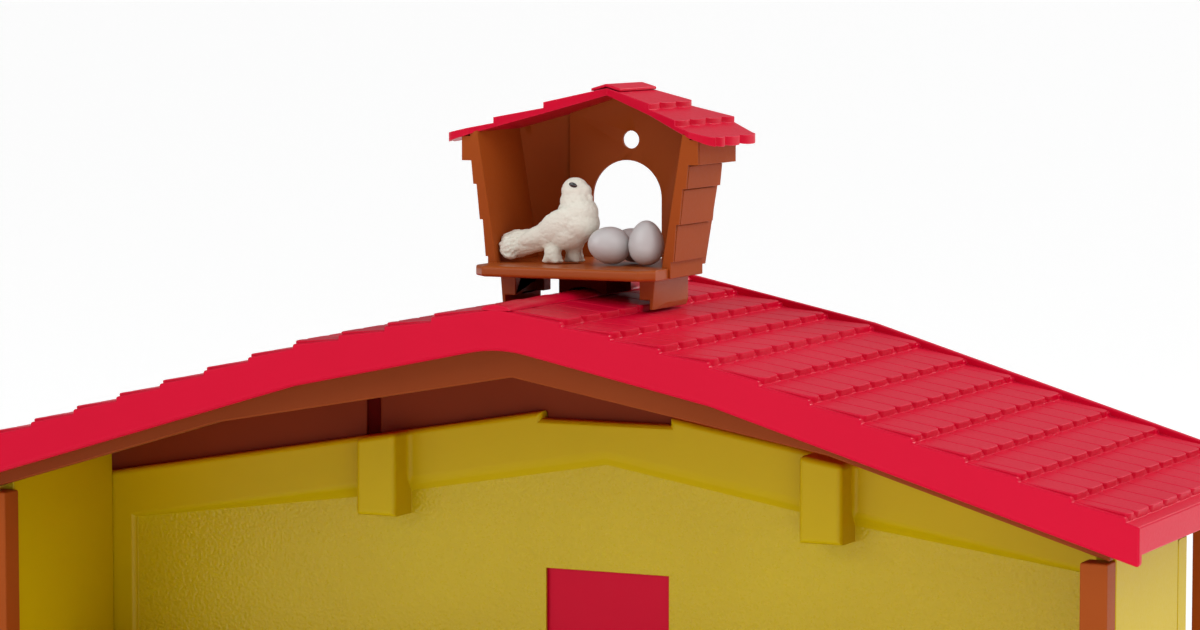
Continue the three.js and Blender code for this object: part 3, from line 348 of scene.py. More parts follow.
def faceOutwards():
    # the last step in edit mode
    bpy.ops.mesh.select_all(action="SELECT")
    bpy.ops.mesh.normals_make_consistent(inside=False)
    bpy.ops.object.mode_set(mode="OBJECT")


def linkedObject(name, data):
    thing = bpy.data.objects.new(name, data)
    bpy.context.scene.collection.objects.link(thing)
    return thing


def applyModifier(piece, kind, **settings):
    onlySelect(piece)
    modifier = piece.modifiers.new(kind.lower(), kind)
    for name, value in settings.items():
        setattr(modifier, name, value)
    bpy.ops.object.modifier_apply(modifier=modifier.name)


def outlinePiece(name, points, across, low, high):
    # an outline in millimetres, drawn across the y or the z axis and extruded along it
    selectNone()
    bpy.ops.mesh.primitive_circle_add(vertices=len(points), fill_type="NGON")
    piece = bpy.context.object
    piece.name = name
    for vertex, (u, v) in zip(piece.data.vertices, points):
        vertex.co = Vector((u, low, v) if across == "y" else (u, v, low)) * mm
    push = Vector((0, 1, 0) if across == "y" else (0, 0, 1)) * (high - low) * mm
    editAll(piece)
    bpy.ops.mesh.extrude_region_move(TRANSFORM_OT_translate={"value": push})
    faceOutwards()
    return piece


def boxPiece(name, low, high):
    (x0, y0, z0), (x1, y1, z1) = low, high
    return outlinePiece(name, [(x0, y0), (x1, y0), (x1, y1), (x0, y1)], "z", z0, z1)


def arcPoints(x, y, wide, deep, start, end, steps):
    # part of an ellipse around x and y, with both its ends
    turns = [start + (end - start) * i / steps for i in range(steps + 1)]
    return [(x + wide * math.cos(turn), y + deep * math.sin(turn)) for turn in turns]


def mirrored(points, side):
    return [(side * u, v) for u, v in points]


def bothSides(half):
    # closes an outline whose first and last points lie in the middle
    return half + mirrored(half[-2:0:-1], -1)


def cleanMesh(piece, merge=0.06, flat=0.5):
    # tiny edges go, in mm, and so do edges between level faces, in degrees: they spoil a bevel
    editAll(piece)
    bpy.ops.mesh.remove_doubles(threshold=merge * mm)
    bpy.ops.mesh.dissolve_limited(angle_limit=math.radians(flat))
    faceOutwards()


def camel(node):
    first, *rest = node.split("_")
    return first + "".join(word.capitalize() for word in rest)


def nodeCopy(node):
    piece = linkedObject(camel(node) + "Piece", frame["nodes"][node].data.copy())
    cleanMesh(piece)
    return piece


def softenEdges(piece, width, segments=2, angle=28, weigh=None, clamp=True):
    # rounds every sharp edge; weigh(a, b) tells from its ends in mm what share an edge gets
    onlySelect(piece)
    limits = {"limit_method": "ANGLE", "angle_limit": math.radians(angle)}
    if weigh:
        bpy.ops.object.mode_set(mode="EDIT")
        bpy.ops.mesh.select_mode(type="EDGE")
        bpy.ops.mesh.select_all(action="DESELECT")
        bpy.ops.mesh.edges_select_sharp(sharpness=math.radians(angle))
        bpy.ops.object.mode_set(mode="OBJECT")
        mesh = piece.data
        weights = mesh.attributes.new("bevel_weight_edge", "FLOAT", "EDGE")
        for edge in mesh.edges:
            if edge.select:
                a, b = (mesh.vertices[i].co / mm for i in edge.vertices)
                weights.data[edge.index].value = weigh(a, b)
        limits = {"limit_method": "WEIGHT"}
    applyModifier(piece, "BEVEL", width=width * mm, segments=segments, profile=0.5,
                  use_clamp_overlap=clamp, miter_outer="MITER_SHARP", **limits)


def smoothPiece(piece, angle=38):
    onlySelect(piece)
    bpy.ops.object.shade_smooth_by_angle(angle=math.radians(angle))
    applyModifier(piece, "WEIGHTED_NORMAL", keep_sharp=True, weight=80)


def combine(piece, other, operation="DIFFERENCE"):
    applyModifier(piece, "BOOLEAN", operation=operation, solver="MANIFOLD", object=other)
    bpy.data.objects.remove(other)


def unite(piece, *others):
    for other in others:
        combine(piece, other, "UNION")
    cleanMesh(piece)


def joinPieces(name, pieces):
    onlySelect(*pieces)
    bpy.ops.object.join()
    pieces[0].name = name
    return pieces[0]


def copyPiece(piece, matrix):
    double = linkedObject(piece.name + "Copy", piece.data.copy())
    double.data.transform(matrix)
    return double


def shifted(x, y, z):
    return Matrix.Translation(Vector((x, y, z)) * mm)


def dressPiece(piece, body, slot, *nodes, look=None):
    piece.data.materials.clear()
    piece.data.materials.append(finish[look or finishOfSlot[slot]])
    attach(piece, body)
    if nodes:
        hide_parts(*nodes)


def dressNode(node, width, segments, look=None):
    piece = nodeCopy(node)
    softenEdges(piece, width, segments)
    smoothPiece(piece)
    dressPiece(piece, bodyOf[node], slotOf[node], node, look=look)


roof = {
    "ridge": 284.7, "halfWidth": 195.7, "upperPitch": 0.21, "lowerPitch": 0.3,
    "breakReach": 67.7, "front": -65.7, "back": 65.7, "stock": 3.2,
    "firstCourse": 21.2, "courseRun": 15.5, "courses": 12, "lip": 1.3,
    "tiles": 9, "tileHeight": 0.95, "headHeight": 0.15, "tileLap": 0.65, "groove": 0.5,
    "frontMargin": 1.5, "backMargin": 4.4, "underCap": 4.2,
    "fasciaHeight": 11.4, "fasciaStock": 3.0, "apexReach": 9.0, "apexSteps": 5,
    "rimHeight": 1.2, "rimStock": 2.0, "rimFoot": 1.0, "eaveLip": 4.0, "eaveHeight": 8.0,
    "edge": 1.4, "smallShare": 0.4, "footReach": 1, "rimEdge": 0.45,
}


def roofLine(x):
    reach = roof["breakReach"]
    return (roof["ridge"] - roof["upperPitch"] * min(x, reach)
            - roof["lowerPitch"] * max(0, x - reach))


def courseEnd(k):
    return roof["firstCourse"] + k * roof["courseRun"] if k >= 0 else 0.0


def steppedTop():
    # the upper line from the ridge to the eave, with a step at each course's end
    points = []
    for k in range(roof["courses"]):
        start, end = courseEnd(k - 1), courseEnd(k)
        points += [(start, roofLine(start)), (end, roofLine(end) + roof["lip"])]
    half = roof["halfWidth"]
    return points + [(end, roofLine(end)), (half, roofLine(half))]


def boardOutline():
    half, stock, reach = roof["halfWidth"], roof["stock"], roof["breakReach"]
    inner, edge = half - roof["eaveLip"], roofLine(half) - roof["eaveHeight"]
    return bothSides(steppedTop() + [
        (half, edge), (inner, edge), (inner, roofLine(inner) - stock),
        (reach, roofLine(reach) - stock), (0, roofLine(0) - stock)])


def fasciaOutline():
    # its lower edge turns gently over the ridge
    half, drop, reach = roof["halfWidth"], roof["fasciaHeight"], roof["breakReach"]
    pitch, turnReach, steps = roof["upperPitch"], roof["apexReach"], roof["apexSteps"]
    shares = [1 - i / steps for i in range(steps + 1)]
    apex = [(turnReach * t, roof["ridge"] - drop - pitch * turnReach * (t * t + 1) / 2)
            for t in shares]
    return bothSides(steppedTop() + [
        (half, roofLine(half) - drop), (reach, roofLine(reach) - drop), *apex])


def rimOutline():
    xs = [roof["underCap"], roof["breakReach"], roof["halfWidth"]]
    rise = roof["rimHeight"] + roof["lip"]
    return [(x, roofLine(x) - roof["rimFoot"]) for x in xs] + [
        (x, roofLine(x) + rise) for x in reversed(xs)]


tile = {"stock": 2.3, "cornerLong": 1.7, "cornerWide": 2.4, "cornerSteps": 5, "edge": 0.45}


def modelTile(name, length, width):
    # its lower corners are rounded, its upper end is square and stays sharp
    long, wide, steps = tile["cornerLong"], tile["cornerWide"], tile["cornerSteps"]
    quarter = math.pi / 2
    plan = [(0.0, 0.0), *arcPoints(length - long, wide, long, wide, -quarter, 0, steps),
            *arcPoints(length - long, width - wide, long, wide, 0, quarter, steps),
            (0.0, width)]
    piece = outlinePiece(name, plan, "z", -tile["stock"], 0.0)

    def topOnly(a, b):
        return 1.0 if min(a.z, b.z) > -near and max(a.x, b.x) > near else 0.0
    softenEdges(piece, tile["edge"], weigh=topOnly)
    return piece


def tileCourses(side):
    # every second course starts with half a tile
    first, last = roof["front"] + roof["frontMargin"], roof["back"] - roof["backMargin"]
    pitch, groove = (last - first) / (roof["tiles"] + 0.5), roof["groove"]
    placed = []
    for k in range(roof["courses"]):
        start, end = courseEnd(k - 1), courseEnd(k)
        rise = roof["lip"] + roof["tileHeight"] - roof["headHeight"]
        slope = (roofLine(end) + rise - roofLine(start)) / (end - start)
        low = max(start - roof["lip"], roof["underCap"])
        top = roofLine(start) + slope * (low - start) + roof["headHeight"]
        length = (end + roof["tileLap"] - low) / math.cos(math.atan(slope))
        full = modelTile("tileFull", length, pitch - groove)
        half = modelTile("tileHalf", length, pitch / 2 - groove)
        place = first
        for i in range(roof["tiles"] + 1):
            isHalf = i == (0 if k % 2 else roof["tiles"])
            wide = pitch / 2 if isHalf else pitch
            spot = place + groove / 2 if side > 0 else groove / 2 - place - wide
            matrix = shifted(low, spot, top) @ Matrix.Rotation(-math.atan(slope), 4, "Y")
            if side < 0:  # the left half is the right one turned about the upright axis
                matrix = Matrix.Rotation(math.pi, 4, "Z") @ matrix
            placed.append(copyPiece(half if isHalf else full, matrix))
            place += wide
        bpy.data.objects.remove(full)
        bpy.data.objects.remove(half)
    return placed


def barnRoof():
    front, back, stock = roof["front"], roof["back"], roof["fasciaStock"]
    board = outlinePiece("roofBoard", boardOutline(), "y", front, back)
    verges = [outlinePiece("verge", fasciaOutline(), "y", low, low + stock)
              for low in (front, back - stock)]
    rims = [outlinePiece("rim", mirrored(rimOutline(), side), "y", back - roof["rimStock"], back)
            for side in (-1, 1)]
    unite(board, *verges)

    def byPlace(a, b):
        middle = (a + b) / 2
        atFoot = middle.z < (roofLine(abs(middle.x)) - roof["fasciaHeight"]
                             + roof["footReach"])
        atVerge = abs(middle.y) > back - stock - near
        return 1.0 if atFoot and atVerge else roof["smallShare"]
    softenEdges(board, roof["edge"], 3, weigh=byPlace)
    for rim in rims:
        softenEdges(rim, roof["rimEdge"])
    joinPieces("roofBoard", [board, *rims])
    smoothPiece(board)
    dressPiece(board, "barn", "red_roof", "roof_left", "roof_right")
    for hand, side in (("Left", -1), ("Right", 1)):
        tiles = joinPieces(f"roofTiles{hand}", tileCourses(side))
        smoothPiece(tiles)
        dressPiece(tiles, "barn", "red_roof", f"roof_{hand.lower()}")


barnRoof()
print("barn roof done")

ridgeCap = {"count": 7, "half": 4.7, "mouthHalf": 5.6, "crown": 1.25, "foot": 0.05,
            "mouth": 1.0, "lap": 0.6, "steps": 16, "edge": 0.35}


def ridgeCaps():
    # each cap widens at its far end, which laps over the next one
    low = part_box("ridge_caps")[0].z
    foot = low / mm + ridgeCap["foot"]
    crown = roof["ridge"] + ridgeCap["crown"]
    outline = arcPoints(0, foot, ridgeCap["half"], crown - foot, 0, math.pi, ridgeCap["steps"])
    spread = ridgeCap["mouthHalf"] / ridgeCap["half"]
    length = (roof["back"] - roof["front"]) / ridgeCap["count"]
    made = []
    for i in range(ridgeCap["count"]):
        start = roof["front"] + i * length
        cap = outlinePiece("cap", outline, "y", start - (ridgeCap["lap"] if i else 0),
                           start + length)
        for vertex in cap.data.vertices:
            if vertex.co.y > (start + length - ridgeCap["mouth"]) * mm:
                vertex.co.x *= spread
                vertex.co.z = low + (vertex.co.z - low) * spread
        softenEdges(cap, ridgeCap["edge"], angle=40)
        made.append(cap)
    caps = joinPieces("ridgeCapRow", made)
    smoothPiece(caps, angle=45)
    dressPiece(caps, "barn", "red_roof", "ridge_caps")


ridgeCaps()
print("ridge caps done")

wall = {"face": 9.4, "recess": 2.0, "apex": 250.0, "fall": 0.156, "band": 16.3,
        "rimSlope": 3.2, "rimReach": 2.0, "ribReach": 0.5, "loft": 154.0, "toFront": -0.98,
        "edge": 1.9, "smallShare": 0.1}


def frontWall():
    # the recessed panel's upper rim slopes in; ribs, rim and top edge are rounded most
    piece = nodeCopy("front_wall")
    panel = wall["face"] + wall["recess"]
    for vertex in piece.data.vertices:
        place = vertex.co / mm
        rim = wall["apex"] - wall["band"] - wall["fall"] * abs(place.x)
        if abs(place.y - panel) < near and abs(place.z - rim) < wall["rimReach"]:
            vertex.co.z -= wall["rimSlope"] * mm

    def byPlace(a, b):
        inFront = max(a.y, b.y) < wall["face"] + near
        onRib = min(a.y, b.y) < wall["face"] - wall["ribReach"]
        aboveLoft = min(a.z, b.z) > wall["loft"]
        return 1.0 if inFront and (onRib or aboveLoft) else wall["smallShare"]
    softenEdges(piece, wall["edge"], 4, weigh=byPlace, clamp=False)
    smoothPiece(piece)
    dressPiece(piece, "barn", "yellow_wall", "front_wall")
    piece.data.materials.append(finish["yellowPanel"])
    for face in piece.data.polygons:
        if face.normal.y < wall["toFront"] and abs(face.center.y / mm - panel) < near:
            face.material_index = 1


frontWall()
board = {"groove": (-85.4, -80.6), "grooveDepth": 1.2, "frontSkin": 0.3, "overrun": 2.0,
         "sink": 0.8, "footReach": 3.0, "edge": 0.6}


def gableBoard():
    # its lower edge goes down into the wall, and a groove runs up its front face, whose faces get
    # a near-black brown as painted shade
    piece = nodeCopy("gable_board")
    low, high = (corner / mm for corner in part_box("gable_board"))
    left, right = board["groove"]
    past, bottom = board["overrun"], low.y + board["grooveDepth"]
    for vertex in piece.data.vertices:
        wallTop = wall["apex"] - wall["fall"] * abs(vertex.co.x / mm)
        if vertex.co.z / mm < wallTop + board["footReach"]:
            vertex.co.z -= board["sink"] * mm
    combine(piece, boxPiece("groove", (left, low.y - past, low.z - past),
                            (right, bottom, high.z + past)))
    softenEdges(piece, board["edge"], 3)
    smoothPiece(piece)
    dressPiece(piece, "barn", "brown_timber", "gable_board", look="shadedBrown")
    # painted shade: the groove's faces get the near-black brown
    piece.data.materials.append(finish["saddleShade"])
    for face in piece.data.polygons:
        place = face.center / mm
        between = left - near < place.x < right + near
        if between and low.y + board["frontSkin"] < place.y < bottom + near:
            face.material_index = 1


gableBoard()
# the trusses take a darker brown as painted shade
for node in ("play_side_truss", "porch_truss"):
    dressNode(node, 0.6, 3, "trussBrown")


def bothHands(*names):
    return [f"{name}_{hand}" for name in names for hand in ("left", "right")]


plainPieces = {  # edge radius in mm, its segments, and the nodes
    "walls and loft": [
        (0.6, 3, ["loft_floor", "loft_beam", "stall_divider",
                  *bothHands("side_wall", "play_side_post", "porch_post")]),
        (1.2, 3, ["base_plate"]),
        (0.3, 2, ["loft_ladder"]),
    ],
    "doors, hatch and windows": [
        (0.45, 2, ["door_frame", "hatch_frame",
                   *bothHands("window_frame", "side_window_frame", "door_brace"),
                   "hatch_pull", "turn_button"]),
        (0.25, 2, [*bothHands("door_leaf"), "hatch_leaf", "shutter_left_inner",
                   "shutter_left_outer", "shutter_right_inner", "shutter_right_outer"]),
        (0.5, 3, bothHands("door_pull")),
        (0.3, 2, [node for node in slotOf if "_pin" in node]),
    ],
}
for stage, groups in plainPieces.items():
    for width, segments, nodes in groups:
        for node in nodes:
            dressNode(node, width, segments)
    print(stage, "done")

# the dovecote's measures start in the middle of its floor's upper face, at the wall's front
cote = {
    "frontY": -9.3, "floorZ": 293.7, "ridge": 53.4, "pitch": 0.35, "soffit": 51.2,
    "soffitPitch": 0.323, "tuck": 0.3, "ends": [18.2, 31.5, 45.1], "lip": 1.1,
    "tileHeight": 0.75, "headHeight": 0.1, "lap": 0.6, "ridgeLap": 0.3, "lobeDepth": 1.3,
    "lobeSteps": 8, "slabY": (-12, 54.5), "slabZ": (20, 60), "overrun": 1.0,
    "verge": [20.5, 12.4, 2.7], "eaveFront": -1.0, "eaveBack": 33.8, "back": 46.5,
    "corner": 4.0, "cornerSteps": (6, 4), "past": 1, "edge": 0.9, "smallShare": 0.4,
    "seams": [[46.5, 34.4, 22.3, 10.2], [51.3, 39.2, 27.1, 15.0, 2.9],
              [33.8, 21.7, 9.6, 3.1, -5.0]],
}


def coteTop(x):
    return cote["ridge"] - cote["pitch"] * abs(x)


def coteUnder(x):
    return cote["soffit"] - cote["soffitPitch"] * abs(x)


def intoRoof(x):
    return (x, coteUnder(x) + cote["tuck"])


def toCote(piece):
    # moves a mesh drawn in the dovecote's measures to its place on the ridge
    piece.data.transform(shifted(0, cote["frontY"], cote["floorZ"]))


def finishCote(piece, slot, node, look=None, angle=34):
    smoothPiece(piece, angle)
    toCote(piece)
    dressPiece(piece, "dovecote", slot, node, look=look)


def cotePlan():
    (first, second, eave), (ridgeY, firstY, secondY) = cote["ends"], cote["verge"]
    front, back, corner = cote["eaveFront"], cote["eaveBack"], cote["corner"]
    small, quarter, (many, few) = corner / 2, math.pi / 2, cote["cornerSteps"]
    return bothSides([
        (0, ridgeY), (first, firstY), (second, secondY), (eave - 2 * corner, front),
        *arcPoints(eave - corner, front + corner, corner, corner, -quarter, 0, many),
        *arcPoints(eave - small, back - small, small, small, 0, quarter, few),
        (second, cote["back"]), (0, cote["back"])])


def lobedCourse(k, side):
    # one course of tiles in a single slab: only its lower edge shows where the tiles part
    start, end = ([0] + cote["ends"])[k], cote["ends"][k]
    under = cote["lip"] + cote["lobeDepth"] + cote["lap"] if k else cote["ridgeLap"]
    low, valley, far = start - under, end - cote["lobeDepth"], end + cote["overrun"]
    (front, back), seams, steps = cote["slabY"], cote["seams"][k], cote["lobeSteps"]
    plan = [(low, back), (valley, back), (valley, seams[0])]
    for y0, y1 in zip(seams, seams[1:]):
        for t in [i / steps for i in range(1, steps + 1)]:
            plan.append((end - cote["lobeDepth"] * abs(2 * t - 1) ** 3, y0 + (y1 - y0) * t))
    plan += [(valley, front), (low, front)]
    slab = outlinePiece("course", mirrored(plan, side), "z", *cote["slabZ"])

    def rise(x):
        growth = cote["tileHeight"] - cote["headHeight"] + cote["lip"]
        return coteTop(x) + cote["headHeight"] + growth * (x - start) / (end - start)
    section = [(low, coteUnder(low)), (far, coteUnder(far)), (far, rise(far)),
               (low, rise(low))]
    combine(slab, outlinePiece("section", mirrored(section, side), "y",
                               front - cote["past"], back + cote["past"]), "INTERSECT")
    return slab


def coteRoof():
    board, *courses = [lobedCourse(k, side) for k in range(3) for side in (1, -1)]
    board.name = "dovecoteRoofPiece"
    unite(board, *courses)
    low, high = cote["slabZ"]
    combine(board, outlinePiece("plan", cotePlan(), "z", low - cote["past"],
                                high + cote["past"]), "INTERSECT")
    cleanMesh(board)

    def byPlace(a, b):
        middle = (a + b) / 2
        return 1.0 if middle.z < coteUnder(middle.x) + near else cote["smallShare"]
    softenEdges(board, cote["edge"], 3, 24, byPlace)
    finishCote(board, "red_roof", "dovecote_roof")


def bisectPiece(piece, point, normal):
    # cuts away what lies on the normal's side and closes the cut
    editAll(piece)
    bpy.ops.mesh.bisect(plane_co=Vector(point) * mm, plane_no=normal, clear_outer=True,
                        use_fill=True)
    bpy.ops.object.mode_set(mode="OBJECT")


leg = {"outer": 26.0, "face": 5.2, "web": 2.2, "front": -1.0, "back": 24.0, "drop": -12.7,
       "notch": -9.7, "foot": 1.8, "top": -3.1, "ceiling": 0.2, "facet": 0.8,
       "facetTop": -3.6, "facetBack": 5.5, "facetFoot": -9.8, "chamfer": 1.7,
       "chamferLean": (0.93, -0.36), "past": 1, "edge": 0.35}


def coteLeg(side):
    # a channel, open inwards, with a facet down its outer front corner
    outer, face, front, drop = leg["outer"], leg["face"], leg["front"], leg["drop"]
    inner, footLine = outer - face, outer - leg["foot"]
    outline = [(inner, leg["top"]), (inner, leg["notch"]), (footLine, leg["notch"]),
               (footLine, drop), (outer, drop), (outer, leg["top"])]
    piece = outlinePiece("leg", mirrored(outline, side), "y", front, leg["back"])
    a, b = sorted((side * (inner - leg["past"]), side * (outer - leg["web"])))
    combine(piece, boxPiece("hollow", (a, front + face, drop - leg["past"]),
                            (b, leg["back"] - face, leg["top"] - leg["ceiling"])))
    corner = Vector((side * outer, front, leg["facetTop"]))
    low = Vector((side * (outer - leg["facet"]), front, drop))
    far = Vector((side * outer, leg["facetBack"], leg["facetFoot"]))
    normal = (low - corner).cross(far - corner)
    if normal.x * side < 0:
        normal.negate()
    bisectPiece(piece, corner, normal.normalized())
    across, up = leg["chamferLean"]
    bisectPiece(piece, (side * outer, front, drop + leg["chamfer"]),
                Vector((side * across, 0, up)).normalized())
    cleanMesh(piece)
    softenEdges(piece, leg["edge"], angle=12)
    return piece


plate = {"half": 30.0, "front": -13.5, "chamfer": 4.0, "stock": 3.3, "depth": 25.5,
         "bayHalf": 23.0, "bayBack": 39.3, "edge": 1.0, "smallShare": 0.35}


def coteFloor():
    half, front, chamfer = plate["half"], plate["front"], plate["chamfer"]
    piece = outlinePiece("plate", bothSides([
        (0, front), (half - chamfer, front), (half, front + chamfer), (half, plate["depth"]),
        (plate["bayHalf"], plate["bayBack"]), (0, plate["bayBack"])]), "z", -plate["stock"], 0)

    def frontEdges(a, b):
        atFront = max(a.y, b.y) < front + chamfer + near
        return 1.0 if atFront and abs(a.z - b.z) < near else plate["smallShare"]
    softenEdges(piece, plate["edge"], 3, 24, frontEdges)
    floor = joinPieces("dovecoteFloorPiece", [piece, coteLeg(-1), coteLeg(1)])
    finishCote(floor, "brown_timber", "dovecote_floor", "floorPlastic")


shingle = {
    "bottoms": [31.2, 24.0, 13.2, 1.9, -3.0], "reaches": [39.6, 35.7, 33.5, 31.5, 30.7],
    "tops": [39.6, 36.4, 34.6, 32.5], "backs": [28.8, 25.9, 25.3, 24.9],
    "inner": 27.7, "lean": 0.162, "stock": 2.5, "skin": 30.05, "depth": 24.0,
    "tailStock": 1.5, "tail": 29.6, "tailLap": 1, "heel": 0.6, "face": 0.8, "line": 0.45,
    "overlap": 0.01, "leanReach": 0.2, "edge": 1.2, "smallShare": 0.25,
}
bay = {
    "half": 20.0, "depth": 36.0, "stock": 3.0, "gap": 0.05, "start": 29.5, "foot": -0.4,
    "head": 54.0, "arch": 11.8, "spring": 18.7, "archPlace": -0.3, "hole": 36.9, "holePlace": 1.0,
    "holeRadius": 2.8, "steps": 32, "rebate": 2.2, "lipStock": 0.9, "strips": 9,
    "below": -20, "beyond": 60, "cutAhead": 3, "cutBehind": 5, "edge": 0.25,
}


def innerLine(z):
    return shingle["inner"] + shingle["lean"] * z


def coteSideWall(side, node):
    # a smooth leaning skin behind five rows of shingles, whose steps also show at the front
    bottoms, reaches, stock = shingle["bottoms"], shingle["reaches"], shingle["stock"]
    foot, skin, thin = bay["foot"], shingle["skin"], shingle["tailStock"]
    top = innerLine(coteUnder(innerLine(bottoms[0]))) + near
    core = [(innerLine(foot), foot), (skin, foot), (skin, bottoms[4]),
            (reaches[4], bottoms[4]), (reaches[4], bottoms[3]),
            (innerLine(bottoms[3]) + stock, bottoms[3] + shingle["heel"]),
            intoRoof(top + stock), intoRoof(top)]
    tail = [(innerLine(foot), foot), (innerLine(0) + thin, foot), intoRoof(top + thin),
            intoRoof(top)]
    piece = outlinePiece(camel(node) + "Piece", mirrored(core, side), "y", 0,
                         shingle["depth"])
    parts = [outlinePiece("tail", mirrored(tail, side), "y",
                          shingle["depth"] - shingle["tailLap"], shingle["tail"])]
    face, line = shingle["face"], shingle["line"]
    for k, low in enumerate(bottoms[:4]):
        reach, inner = shingle["tops"][k], innerLine(low) + stock / 2
        high = bottoms[k - 1] if k else intoRoof(reach)[1]
        # a board at the front and one behind it, with a groove above it and between the two
        for front, back, gap in ((0, face, -shingle["overlap"]),
                                 (face + line, shingle["backs"][k], line)):
            end = high - (gap if k else 0)
            row = [(inner, low), (reaches[k], low), (reach, end),
                   (innerLine(end) + stock / 2, end)]
            parts.append(outlinePiece("row", mirrored(row, side), "y", front, back))
    unite(piece, *parts)

    def byPlace(a, b):
        atFront = max(a.y, b.y) < near
        inside = all(abs(abs(end.x) - innerLine(end.z)) < shingle["leanReach"]
                     for end in (a, b))
        return 1.0 if atFront and inside else shingle["smallShare"]
    softenEdges(piece, shingle["edge"], 3, weigh=byPlace)
    finishCote(piece, "brown_timber", node)


def slantingWall(side):
    # joins the leaning end of a side wall to the upright back wall, so it is slightly twisted
    foot, head, thick = bay["foot"], bay["head"], bay["stock"] / 2
    far, back = bay["half"], bay["depth"] + bay["stock"]

    def corners(z):
        inner = innerLine(z) + bay["gap"]
        return mirrored([(inner, bay["start"]), (inner + shingle["tailStock"], bay["start"]),
                         (far + thick, back), (far - thick, back)], side)
    piece = outlinePiece("slant", corners(foot), "z", foot, head)
    for vertex in piece.data.vertices:
        if vertex.co.z > (foot + head) / 2 * mm:
            distances = [(vertex.co / mm - Vector((*corner, head))).length
                         for corner in corners(foot)]
            upper = corners(head)[distances.index(min(distances))]
            vertex.co = Vector((*upper, head)) * mm
    editAll(piece)
    bpy.ops.mesh.subdivide(number_cuts=bay["strips"])
    bpy.ops.mesh.quads_convert_to_tris()
    bpy.ops.object.mode_set(mode="OBJECT")
    return piece


def coteBackWall():
    half, depth, outer = bay["half"], bay["depth"], bay["depth"] + bay["stock"]
    below, beyond, steps = bay["below"], bay["beyond"], bay["steps"]
    back = boxPiece("dovecoteBackPiece", (-half, depth, bay["foot"]),
                    (half, outer, bay["head"]))
    for side in (-1, 1):
        combine(back, slantingWall(side), "UNION")
    underRoof = [(-beyond, below), (beyond, below), intoRoof(beyond), intoRoof(0),
                 intoRoof(-beyond)]
    combine(back, outlinePiece("underRoof", underRoof, "y", 0, beyond), "INTERSECT")
    # both openings are rebated behind, so that only a thin lip shows from inside
    for extra, front in ((0, depth - bay["cutAhead"]), (bay["rebate"], depth + bay["lipStock"])):
        middle, reach, radius = bay["archPlace"], bay["arch"] + extra, bay["holeRadius"] + extra
        arch = [(middle - reach, below), (middle + reach, below),
                *arcPoints(middle, bay["spring"], reach, reach, 0, math.pi, steps)]
        hole = arcPoints(bay["holePlace"], bay["hole"], radius, radius, 0, 2 * math.pi, steps)
        for outline in (arch, hole[:-1]):
            combine(back, outlinePiece("cutter", outline, "y", front, outer + bay["cutBehind"]))
    softenEdges(back, bay["edge"], angle=40)
    finishCote(back, "brown_timber", "dovecote_back", angle=24)


coteRoof()
coteFloor()
coteSideWall(-1, "dovecote_wall_left")
coteSideWall(1, "dovecote_wall_right")
coteBackWall()
# the saddle takes the near-black brown as painted shade
dressNode("dovecote_saddle", 0.4, 3, "saddleShade")
dressNode("dovecote_ridge_cap", 0.3, 2)
print("dovecote done")

dove = {
    "segments": (28, 16), "place": (-8.4, 5.8), "voxel": 0.36, "smooth": 0.5, "smoothSteps": 5,
    # blobs of the figure: X, Y, Z from the dovecote's floor and the three half sizes, then pitch
    "body": [
        (4.7, 0, 22.3, 4.4, 3.9, 4.2, 0), (4.9, 0, 19.2, 5.0, 4.4, 4.2, 0),
        (5.6, 0, 15.6, 6.5, 5.6, 5.4, 0), (5.6, 0, 12.4, 6.8, 6.2, 5.6, 0),
        (2.6, 0, 9.9, 7.6, 6.0, 5.6, 0.3), (-2.2, 0, 9.6, 7.8, 5.6, 5.0, 0.42),
        (-7.5, 0, 7.5, 5.8, 4.6, 3.9, 0.3), (-9.5, 0, 6.7, 4.6, 4.2, 3.8, 0.2),
        (8.9, 0, 21.2, 2.3, 1.2, 1.0, -0.75), (7.6, 0, 22.4, 2.4, 2.4, 2.2, 0),
    ],
    "tail": [
        (-12.0, 0, 6.2, 4.8, 4.0, 4.0, 0.15), (-14.4, 0, 5.7, 4.2, 4.2, 4.3, 0.1),
        (-16.2, 1.6, 7.6, 3.4, 3.0, 2.2, 0.1), (-16.4, -1.6, 4.8, 3.4, 3.2, 3.8, 0.1),
        (-18.2, 0.6, 7.3, 2.2, 3.2, 1.5, 0.2), (-18.4, -1.0, 5.4, 2.1, 3.0, 1.4, 0.1),
        (-17.6, -2.0, 3.5, 2.2, 2.6, 1.4, 0), (-16.4, -2.4, 2.2, 2.3, 2.2, 1.3, -0.1),
    ],
    "wings": [  # both sides
        (1.0, 4.6, 12.6, 7.6, 1.9, 4.0, 0.5), (-4.6, 4.1, 9.4, 8.2, 1.6, 2.7, 0.36),
        (-10.2, 2.9, 7.3, 5.6, 1.3, 1.9, 0.28),
    ],
    "legs": [(-1.7, -2.7), (2.9, 2.9)],
    # blobs of a leg: X from the leg, share of the leg's Y, then as above
    "leg": [(0, 0.7, 6.2, 3.7, 2.6, 3.0), (0, 1, 3.6, 2.7, 2.4, 2.8),
            (0.1, 1, 2.0, 3.0, 2.5, 1.8)],
    "toes": [(-0.75, 1.5), (0.0, 2.1), (0.75, 1.5)],  # angle and half length
    "toeStart": 0.2, "toeAhead": 1.6, "toeAside": 2.04, "toeLift": 0.95, "toeSize": (0.85, 0.72),
    "heelStart": -1.7, "heelAside": 1.5, "heelSize": (1.5, 0.9, 0.75),
    "eye": (1.35, 0.5, 0.8), "eyePlace": (5.6, 3.55, 24.3), "eyePitch": -0.3, "eyeTilt": 0.32,
}
